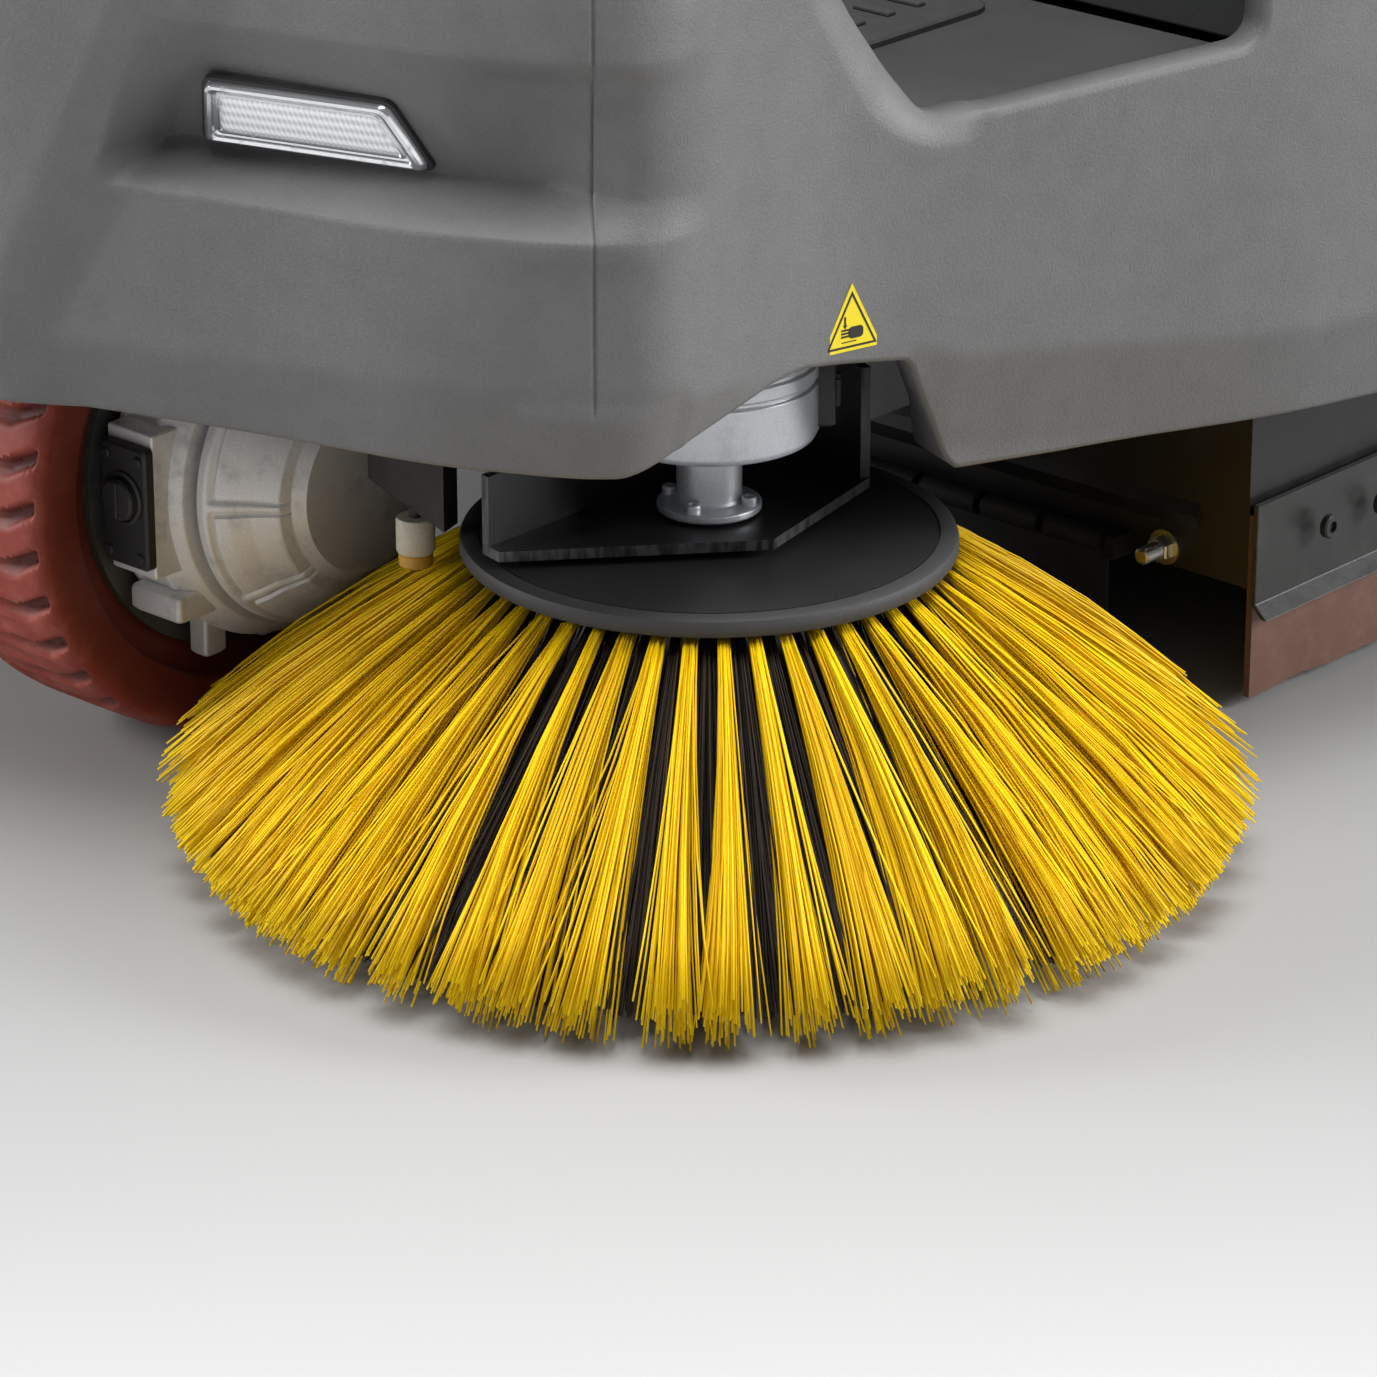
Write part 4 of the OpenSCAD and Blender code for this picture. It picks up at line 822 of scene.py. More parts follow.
class Strands:
    """Many thin filaments built as one mesh."""

    def __init__(self, sides: int = 3) -> None:
        """Start empty, each filament with that many sides."""
        self.sides = sides
        self.form = Form()

    def add(self, path: Sequence[Vector], radius: float, tint: float) -> None:
        """Add one filament along a path."""
        side = (path[-1] - path[0]).orthogonal().normalized()
        rows = []
        last = len(path) - 1
        for i, p in enumerate(path):
            ahead = (path[min(i + 1, last)] - path[max(i - 1, 0)]).normalized()
            side = (side - ahead * side.dot(ahead)).normalized()
            up = ahead.cross(side)
            rows.append([p + (side * math.cos(TAU * k / self.sides)
                              + up * math.sin(TAU * k / self.sides)) * radius
                         for k in range(self.sides)])
        self.form.rows(rows, ring=True, caps=True)
        self.form.values.extend([tint] * (len(path) * self.sides))


# ---------------------------------------------------------------- moulded skins


def everywhere(value: float) -> Callable[[np.ndarray, np.ndarray], np.ndarray]:
    """Return a margin or depth that is the same at every place."""
    return lambda y, z: np.full(np.shape(y), value)


@dataclass
class Hole:
    """A cut through a skin, drawn in the side view as (y, z), with rounded corners.

    radius rounds the corners, margin is how far the skin stays back from the edge at a place,
    depth is how far the turned-in lip goes.
    """

    outline: list[tuple[float, float]]
    radius: float
    margin: Callable[[np.ndarray, np.ndarray], np.ndarray]
    depth: Callable[[np.ndarray, np.ndarray], np.ndarray]

    def distance(self, y: np.ndarray, z: np.ndarray) -> np.ndarray:
        """Return the signed distance to the outline, negative inside it."""
        p = np.stack([y, z], -1)
        best = np.full(y.shape, 1e9)
        inside = np.zeros(y.shape, bool)
        count = len(self.outline)
        for i in range(count):
            a, b = np.array(self.outline[i]), np.array(self.outline[(i + 1) % count])
            edge = b - a
            t = np.clip(((p - a) @ edge) / (edge @ edge), 0, 1)
            best = np.minimum(best, np.linalg.norm(p - a - t[..., None] * edge, axis=-1))
            crosses = (a[1] > z) != (b[1] > z)
            slope = a[0] + (z - a[1]) / (b[1] - a[1] + 1e-12) * (b[0] - a[0])
            inside ^= crosses & (y < slope)
        return np.where(inside, -best, best)

    def field(self, y: np.ndarray, z: np.ndarray) -> np.ndarray:
        """Return the signed distance to the edge of the skin round this hole."""
        return self.distance(y, z) - self.radius - self.margin(y, z)


class Skin:
    """A moulded panel: a surface over (length, height), cut by holes whose edges turn inwards."""

    def __init__(self, place: Callable[[np.ndarray, np.ndarray], np.ndarray], lengths: np.ndarray,
                 heights: np.ndarray, holes: list[Hole]) -> None:
        """Keep the surface, its grid and its holes."""
        self.place = place
        self.lengths = lengths
        self.heights = heights
        self.holes = holes

    def _field(self, points: np.ndarray) -> np.ndarray:
        """Return the smallest distance to any hole's edge, negative where the skin is cut away."""
        return np.min([h.field(points[..., 1], points[..., 2]) for h in self.holes], axis=0)

    def _clip(self) -> tuple[np.ndarray, list[tuple[int, ...]]]:
        """Return the trimmed grid's points and faces."""
        s, w = np.meshgrid(self.lengths, self.heights, indexing="ij")
        shape = s.shape
        gap = 0.4 * min(np.median(np.diff(self.lengths)), np.median(np.diff(self.heights)))
        for _ in range(3):
            base = self._field(self.place(s, w))
            near = np.abs(base) < gap
            ds = (self._field(self.place(s + 0.1, w)) - base) / 0.1
            dw = (self._field(self.place(s, w + 0.1)) - base) / 0.1
            size = ds * ds + dw * dw + 1e-9
            s = np.where(near, s - base * ds / size, s)
            w = np.where(near, w - base * dw / size, w)
        value = self._field(self.place(s, w))
        value = np.where(np.abs(value) < gap * 0.3, 0.0, value)
        params = [np.stack([s.ravel(), w.ravel()], -1)]
        flat = value.ravel()
        extra: dict[tuple[int, int], int] = {}
        cuts: list[np.ndarray] = []
        faces: list[tuple[int, ...]] = []
        rows, cols = shape
        count = rows * cols
        for i in range(rows - 1):
            for j in range(cols - 1):
                corner = (i * cols + j, (i + 1) * cols + j, (i + 1) * cols + j + 1, i * cols + j + 1)
                side = [flat[c] for c in corner]
                if max(side) <= 0:
                    continue
                if min(side) >= 0:
                    faces.append(corner)
                    continue
                face: list[int] = []
                for k in range(4):
                    a, b = corner[k], corner[(k + 1) % 4]
                    if flat[a] >= 0:
                        face.append(a)
                    if flat[a] * flat[b] < 0:
                        key = (min(a, b), max(a, b))
                        if key not in extra:
                            t = flat[a] / (flat[a] - flat[b])
                            cuts.append(params[0][a] * (1 - t) + params[0][b] * t)
                            extra[key] = count + len(cuts) - 1
                        face.append(extra[key])
                if len(face) > 2:
                    faces.append(tuple(face))
        if cuts:
            params.append(np.array(cuts))
        both = np.concatenate(params)
        return self.place(both[:, 0], both[:, 1]), faces

    def build(self) -> Form:
        """Return the half panel with turned-in edges, for mirroring."""
        points, faces = self._clip()
        work = bmesh.new()
        verts = [work.verts.new(p) for p in points]
        for f in faces:
            try:
                work.faces.new([verts[i] for i in f])
            except ValueError:
                continue
        bmesh.ops.remove_doubles(work, verts=work.verts, dist=0.25)
        bmesh.ops.dissolve_degenerate(work, edges=work.edges, dist=0.05)
        loose = [v for v in work.verts if not v.link_faces]
        bmesh.ops.delete(work, geom=loose, context="VERTS")
        work.normal_update()
        self._turn_in(work)
        work.verts.index_update()
        form = Form().add([v.co[:] for v in work.verts], [[v.index for v in f.verts] for f in work.faces])
        work.free()
        return form

    def _turn_in(self, work: bmesh.types.BMesh) -> None:
        """Give every cut edge a rounded lip that turns into the machine."""
        edges = [e for e in work.edges if e.is_boundary
                 and not (abs(e.verts[0].co.x) < 0.5 and abs(e.verts[1].co.x) < 0.5)]
        border = list({v for e in edges for v in e.verts})
        at = np.array([v.co for v in border])
        fields = np.array([h.field(at[:, 1], at[:, 2]) for h in self.holes])
        nearest = fields.argmin(0)
        rims: dict[bmesh.types.BMVert, list[bmesh.types.BMVert]] = {}
        for k, v in enumerate(border):
            hole = self.holes[nearest[k]]
            if fields[nearest[k], k] > 3.0:
                continue
            y, z = np.array([v.co.y]), np.array([v.co.z])
            here = hole.distance(y, z)[0]
            slope = Vector((0.0, (hole.distance(y + 0.5, z)[0] - here) / 0.5,
                            (hole.distance(y, z + 0.5)[0] - here) / 0.5))
            normal = v.normal if v.normal.dot(Vector((v.co.x, 0, 0))) > -1 else -v.normal
            inward = -(slope - normal * slope.dot(normal))
            if inward.length < 0.05:
                continue
            inward.normalize()
            width = float(hole.margin(y, z)[0])
            depth = float(hole.depth(y, z)[0])
            ring = []
            for share, drop in ((0.12, 0.01), (0.5, 0.16), (0.85, 0.42), (1.0, 0.72)):
                ring.append(work.verts.new(v.co + inward * width * share - normal * width * drop))
            ring.append(work.verts.new(v.co + inward * width - normal * (width * 0.72 + depth)))
            rims[v] = ring
        for e in edges:
            a, b = e.verts
            if a not in rims or b not in rims:
                continue
            first, second = [a, *rims[a]], [b, *rims[b]]
            for i in range(len(first) - 1):
                try:
                    work.faces.new((first[i], second[i], second[i + 1], first[i + 1]))
                except ValueError:
                    continue


def resample(points: Sequence[Vector], pitch: float) -> np.ndarray:
    """Return a polyline's points at an even pitch, as rows of length, x and y."""
    p = np.array([(q[0], q[1]) for q in points])
    length = np.concatenate([[0], np.cumsum(np.linalg.norm(np.diff(p, axis=0), axis=1))])
    even = np.linspace(0, length[-1], int(length[-1] / pitch) + 1)
    return np.stack([even, np.interp(even, length, p[:, 0]), np.interp(even, length, p[:, 1])], -1)


class Plan:
    """A plan outline looked up by its own length."""

    def __init__(self, points: Sequence[Point], steps: int = 8, pitch: float = 1.0) -> None:
        """Smooth the outline and measure it."""
        curve = resample(spline([(p[0], p[1], 0) for p in points], steps), pitch)
        self.length, self.x, self.y = curve[:, 0], curve[:, 1], curve[:, 2]
        dx, dy = np.gradient(self.x), np.gradient(self.y)
        window = np.ones(9) / 9
        dx = np.convolve(np.pad(dx, 4, "edge"), window, "valid")
        dy = np.convolve(np.pad(dy, 4, "edge"), window, "valid")
        size = np.hypot(dx, dy)
        self.nx, self.ny = dy / size, -dx / size
        self.nx[0], self.ny[0] = 0.0, -1.0

    def at(self, s: np.ndarray, z: np.ndarray, inset: np.ndarray) -> np.ndarray:
        """Return the points at lengths s and heights z, moved inwards by inset."""
        x, y, nx, ny = (np.interp(s, self.length, table) for table in (self.x, self.y, self.nx, self.ny))
        return np.stack([x - nx * inset, y - ny * inset, z], -1)

    def length_at(self, x: Optional[float] = None, y: Optional[float] = None) -> float:
        """Return the length at which the outline reaches x or y."""
        table, value = (self.x, x) if x is not None else (self.y, y)
        return float(self.length[int(np.argmax(table >= value))])


# ---------------------------------------------------------------- front of the machine


@dataclass
class Cowl:
    """The moulded front: nose, lamp pockets, step-in openings and the arch over the side brush."""

    lean_z: float = 430.0
    lean: float = 0.15
    top_z: float = 754.0
    top_round: float = 18.0
    sill_z: float = 357.0
    entry_y: float = 82.0
    entry_lean: float = 1.71
    jamb_y: float = 235.0
    strip_top: float = 640.0
    pitch: float = 4.0
    lamp_x: float = 205.0
    lamp_y: float = -155.0
    lamp_turn: float = 17.0
    pocket_foot: float = 352.0
    pocket_top: float = 415.0
    pocket_depth: float = 30.0

    def __post_init__(self) -> None:
        """Smooth the plan of the left half."""
        self.plan = Plan([(0, -205), (63, -199), (122, -181), (180, -163), (258, -143), (300, -125),
                          (332, -103), (350, -74), (350, -20), (353, 30), (367, 77), (400, 162),
                          (434, 247), (452, 310), (462, 355)])
        self.seam = self.plan.length_at(x=333.0)
        self.corner = self.plan.length_at(x=293.0)
        self.fade = self.plan.length_at(y=-40.0)

    def relief(self, s: np.ndarray, z: np.ndarray) -> np.ndarray:
        """Return how far the surface lies inside the plain panel at a length and height."""
        x = np.interp(s, self.plan.length, self.plan.x)
        y = np.interp(s, self.plan.length, self.plan.y)
        front = 1 - step(s, self.corner, self.seam + 40)
        edge0 = np.interp(z, [225, 263, 425, 754], [63, 54, 127, 300])
        edge1 = np.interp(z, [221, 263, 425, 754], [101, 88, 180, 380])
        ramp = np.clip((x - edge0) / (edge1 - edge0), 0, 1)
        nose = (9 * (0.8 * ramp + 0.2 * step(ramp, 0, 1)) - 4.0) * front
        # Lamp pocket: a sloping ledge, a leaning back, a left wall, and a fade round the corner.
        wall = np.interp(z, [340, 420], [112, 142])
        width = 12 + np.clip(0.24 * (z - 340), 0, 18)
        reach = np.clip((x - wall) / width, 0, 1) * (1 - step(s, self.corner + 8, self.fade))
        rise = np.clip((z - (self.pocket_foot - 15)) / 16, 0, 1)
        back = np.clip((self.pocket_top - z) / (self.pocket_top - self.pocket_foot - 1), 0, 1)
        brow = 1 - step(z, self.pocket_top - 16, self.pocket_top + 2)
        corner = step(s, self.corner - 25, self.corner + 10)
        shape = np.minimum(rise, back * (1 - corner) + (0.55 * brow + 0.45 * back) * corner)
        pocket = self.pocket_depth * shape * reach
        # Tuck under the lower crease, at the front and along the side.
        crease = np.where(y < -60, 262 + 8 * step(x, 120, 320), np.interp(y, [60, 94, 264], [262, 247, 231]))
        tuck = np.clip((crease - z) / 30, 0, 1.6) * np.where(y < -60, 7.0, 8.0) * (
            1 - step(y, -60, 0) * (1 - step(y, 62, 80)))
        dent = 3.2 * step(x, 296, 316) * (1 - step(s, self.seam + 6, self.seam + 40)) * (
            step(z, 256, 268) * (1 - step(z, 318, 334)))
        groove = 1.3 * np.exp(-(((s - self.seam) / 0.8) ** 2)) * step(z, 254, 262)
        return nose + pocket + tuck + dent + groove

    def place(self, s: np.ndarray, w: np.ndarray) -> np.ndarray:
        """Return the surface point at a length along the plan and along the height."""
        turn = np.clip((w - (self.top_z - self.top_round)) / self.top_round, 0, math.pi / 2)
        z = np.minimum(w, self.top_z - self.top_round) + self.top_round * np.sin(turn)
        over = np.maximum(np.minimum(w, self.top_z - self.top_round) - self.lean_z, 0)
        lean = self.lean * np.where(over < 30, over * over / 60, over - 15) * 1.05
        inset = lean + self.top_round * (1 - np.cos(turn))
        return self.plan.at(s, z, inset + self.relief(s, z))

    def _holes(self) -> list[Hole]:
        """Return the step-in opening, the lower edge and the rear edge."""
        lean, y0, z0, shrink = self.entry_lean, self.entry_y, self.sill_z, 12.0

        def slope_y(z: np.ndarray, out: float = 0.0) -> np.ndarray:
            """Return how far back the opening's front edge is at a height."""
            return y0 - (z - z0) / lean + out

        def pillar(y: np.ndarray, z: np.ndarray) -> np.ndarray:
            """Return the margin of the step-in opening, wider along its front pillar."""
            return 4 + 21 * (1 - step(y - slope_y(z), 6, 26)) * step(z, z0 - 30, z0 + 10)

        top = self.top_z + 70
        entry = [(y0 + 6, z0 + shrink), (self.jamb_y - shrink, z0 + 13 + shrink),
                 (self.jamb_y - shrink, self.strip_top + shrink), (900.0, self.strip_top + shrink),
                 (900.0, top),
                 (slope_y(top, shrink * 1.16), top)]
        edge = everywhere(3.0)
        low = [(-330.0, 0.0), (-330.0, 221.0), (-84.0, 221.0), (-53.0, 233.0), (-5.0, 248.0), (14.0, 250.0),
               (66.0, 243.0), (98.0, 182.0), (900.0, 172.0), (900.0, 0.0)]
        rear = [(297.0, 900.0), (297.0, 425.0), (378.0, 155.0), (900.0, 155.0), (900.0, 900.0)]
        return [
            Hole(entry, shrink, pillar, lambda y, z: 14 - 12 * step(z, 575, 595)),
            Hole(low, 6.0, edge, lambda y, z: 9 + 18 * step(y, 60, 90) * (1 - step(y, 108, 125))),
            Hole(rear, 3.0, edge, everywhere(9.0)),
        ]

    def build(self) -> None:
        """Build both halves of the panel as one piece."""
        last = self.plan.length[-1]
        lengths = np.arange(0, last + self.pitch, self.pitch)
        extra = self.seam + np.array([-2.6, -1.5, -0.8, 0.0, 0.8, 1.5, 2.6])
        finer = np.arange(self.plan.length_at(x=100.0), self.plan.length_at(x=178.0), self.pitch / 3)
        lengths = lengths[(lengths < finer[0] - 1) | (lengths > finer[-1] + 1)]
        lengths = np.unique(np.concatenate([lengths[np.abs(lengths - self.seam) > 3.6], extra, finer]))
        lengths = np.minimum(lengths, last)
        heights = np.arange(170, self.top_z + self.top_round * 0.7, self.pitch)
        folds = np.array([self.pocket_foot - 15, self.pocket_foot + 1, self.pocket_top])
        near = np.abs(heights[:, None] - folds[None, :]).min(axis=1)
        heights = np.unique(np.concatenate([heights[near > 1.6], folds - 0.7, folds + 0.7]))
        skin = Skin(self.place, lengths, heights, self._holes()).build()
        piece = skin.mirrored().make("front_cowl_moulding", "chassis", "cowl_plastic", Finish.COWL,
                                     "front_cowl",
                                     sharp=48.0, weld=0.3)
        shell = piece.modifiers.new("shell", "SOLIDIFY")
        shell.thickness = SKIN_THICK * MM
        shell.offset = -1.0

    def lamp_frame(self, side: float) -> Matrix:
        """Return the frame of a lamp on the pocket's back, x along it and z out of it."""
        mid = 372.5
        tall = self.pocket_top - self.pocket_foot
        lean = math.atan(self.pocket_depth / tall)
        back = self.pocket_depth * (self.pocket_top - mid) / tall
        frame_at = (Matrix.Translation((self.lamp_x, self.lamp_y, 0))
                    @ Matrix.Rotation(math.radians(self.lamp_turn), 4, "Z")
                    @ Matrix.Translation((0, back, mid)) @ Matrix.Rotation(math.pi / 2 + lean, 4, "X"))
        return frame_at if side > 0 else Matrix.Scale(-1, 4, (1, 0, 0)) @ frame_at


@dataclass
class Headlamps:
    """A plated double bezel round a ribbed lens, in each front corner."""

    cowl: Cowl
    half_l: float = 54.0
    half_h: float = 16.5

    def outline(self, inset: float) -> list[tuple[float, float]]:
        """Return the lamp's four-sided outline with rounded corners, drawn in by inset."""
        l, h = self.half_l, self.half_h
        corners = [(-l + inset * 1.5, -h + inset), (l - inset * 1.7, -h + inset),
                   (l - h * 0.75 - inset * 1.1, h - inset), (-l + h * 0.5 + inset * 0.9, h - inset)]
        radius = max(4.2 - inset * 0.3, 1.2)
        out = []
        for i in range(4):
            here = Vector(corners[i])
            a = (Vector(corners[i - 1]) - here).normalized() * radius
            b = (Vector(corners[(i + 1) % 4]) - here).normalized() * radius
            for k in range(7):
                t = k / 6
                out.append(tuple(here + a * (1 - t) ** 2 + b * t * t))
        return out

    def ring(self, levels: Sequence[tuple[float, float]], matrix: Matrix, form: Form, caps: bool) -> None:
        """Add a ring of (inset, height) levels to the form."""
        rows = [[matrix @ Vector((x, y, h)) for x, y in self.outline(inset)] for inset, h in levels]
        form.rows(rows, ring=True, caps=caps)

    def build(self) -> None:
        """Build the bezels, a black ring painted as the shadow in their rebate, and the lenses."""
        bezel, shadow, lens = Form(), Form(), Form()
        for side in (1, -1):
            matrix = self.cowl.lamp_frame(side)
            self.ring([(-0.6, -2.0), (-0.6, 2.6), (0.3, 4.4), (1.6, 4.9), (3.0, 4.2), (3.4, 3.0)], matrix,
                      bezel, False)
            self.ring([(3.4, 3.0), (4.4, 2.4), (4.9, 3.4), (5.8, 3.6), (6.4, 2.6), (6.6, 0.6)], matrix,
                      bezel, False)
            # Painted shadow: a black ring round each bezel's foot.
            self.ring([(-2.0, -1.5), (-2.0, 1.3), (-0.4, 1.5)], matrix, shadow, False)
            self.ring([(6.5, 0.8), (6.5, 2.0), (7.4, 2.9), (9.0, 3.2)], matrix, lens, True)
        bezel.make("headlamp_bezel_rings", "chassis", "chrome", Finish.CHROME, "headlamp_bezels")
        shadow.make("headlamp_painted_shadow_rings", "chassis", "dark_plastic", Finish.BLACK_PLASTIC)
        lens.make("headlamp_lens_glass", "chassis", "lens", Finish.LENS, "headlamp_lenses")


@dataclass
class HazardLabel:
    """A generic yellow warning triangle without lettering."""

    width: float = 32.0
    height: float = 31.0
    y: float = 40.0
    z: float = 275.0

    def triangle(self, inset: float) -> list[tuple[float, float]]:
        """Return the triangle drawn in by inset."""
        w, h = self.width / 2 - inset * 1.6, self.height / 2
        return [(-w, -h + inset), (w, -h + inset), (0, h - inset * 2.3)]

    def build(self, cowl: Cowl) -> None:
        """Lay the film and its print on the panel."""
        s = cowl.plan.length_at(y=self.y)
        here = cowl.place(np.array([s, s + 2.0]), np.array([self.z] * 2))
        across = Vector(here[1] - here[0]).normalized()
        up = Vector((0, 0, 1))
        out = across.cross(up).normalized()
        matrix = Matrix.Translation(Vector(here[0])) @ Matrix((across, up, out)).transposed().to_4x4()
        Form().prism(self.triangle(0), 0.05, 0.5, matrix).make(
            "warning_film", "chassis", "label_yellow", Finish.LABEL, "warning_label")
        mark = Form()
        ring = [[matrix @ Vector((x, y, h)) for x, y in self.triangle(i)]
                for i, h in ((1.5, 0.5), (1.5, 0.62), (2.5, 0.62), (2.5, 0.5))]
        mark.rows(ring, ring=True)
        mark.prism([(-5.5, -11.4), (2.5, -11.4), (2.5, -10.9), (-5.5, -10.9)], 0.5, 0.62, matrix)
        mark.prism([(x * 0.62 + 2.2, y * 0.62 - 7.2) for x, y in rounded_box(6.5, 4.4, 3.2, 5)], 0.5, 0.62,
                   matrix)
        for k in range(3):
            mark.prism([(-5.8, -9.0 + 1.5 * k), (-1.0, -9.0 + 1.5 * k), (-1.0, -8.1 + 1.5 * k),
                        (-5.8, -8.1 + 1.5 * k)], 0.5, 0.62, matrix)
        mark.prism([(-4.2, -3.6), (-3.2, -3.6), (-3.2, 0.6), (-4.2, 0.6)], 0.5, 0.62, matrix)
        mark.prism([(-3.7, -5.0), (-2.5, -3.2), (-4.9, -3.2)], 0.5, 0.62, matrix)
        mark.make("warning_print", "chassis", "label_yellow", Finish.PRINT)


# ---------------------------------------------------------------- drive unit


@dataclass
class Tread:
    """A solid tyre with a rounded shoulder and slanted slots."""

    radius: float
    inner: float
    x0: float
    x1: float
    slots: int = 36
    depth: float = 4.5
    slant: float = 0.5
    bulge: float = 0.0

    def profile(self, steps: int = 40) -> list[tuple[float, float]]:
        """Return (radius, x) pairs from the outer bead over the tread to the inner bead."""
        mid, half, r = (self.x0 + self.x1) / 2, (self.x1 - self.x0) / 2, self.radius
        bead = self.x1 - self.bulge
        out = [(self.inner, bead - 5.0), (self.inner + 4, bead - 1.5), (self.inner + 12, bead)]
        if self.bulge:
            out.extend([(self.inner + 13, bead + 0.6), (self.inner + 14, self.x1 - 1.5),
                        (self.inner + 16, self.x1)])
        for i in range(steps + 1):
            a = math.pi / 2 - math.pi * i / steps
            u, v = math.sin(a), math.cos(a)
            flat = abs(u) ** 0.30 * (1 if u >= 0 else -1)
            out.append((r - 14 + 14 * v ** 0.36 if v > 1e-6 else r - 14, mid + half * flat))
        out.extend([(self.inner + 12, self.x0), (self.inner + 4, self.x0 + 1.5), (self.inner, self.x0 + 5.0)])
        return out

    def groove(self, angle: float, radius: float, x: float) -> float:
        """Return the slot's depth, as a negative radius."""
        if radius < self.radius - 12:
            return 0.0
        mid, half = (self.x0 + self.x1) / 2, (self.x1 - self.x0) / 2
        u = (x - mid) / half
        lead = self.slots / TAU * angle + self.slant * abs(u) * 1.6
        phase = (lead + (0.5 if u < 0 else 0.0)) % 1.0
        width = 1 - min(max((abs(phase - 0.5) - 0.12) / 0.07, 0), 1)
        band = float(step(abs(u), 0.12, 0.2) * (1 - step(abs(u), 0.86, 0.97)))
        rib = 0.8 * math.exp(-((abs(u) - 0.05) / 0.03) ** 2)
        return -self.depth * width * band + rib

    def build(self, at: Point, name: str, body: str, slot: str, finish: Finish, node: str) -> None:
        """Build the tyre round an axis along x through at, with a stored painted shade mask for its sidewalls
        and slots.
        """
        steps = self.slots * 14
        form = Form().revolve(self.profile(), at, "x", steps, self.groove)
        # Painted shade mask: 0.55 on the sidewalls and up to 0.85 in the slots; the rubber darkens by it.
        for radius, x in self.profile():
            wall = float(1 - step(radius, self.radius - 12, self.radius - 5)) * 0.55
            for i in range(steps):
                cut = -self.groove(TAU * i / steps, radius, x) / self.depth
                form.values.append(max(wall, min(max(cut, 0.0), 1.0) * 0.85))
        form.values.extend([0.0] * (len(form.points) - len(form.values)))
        form.make(name, body, slot, finish, node, sharp=50)


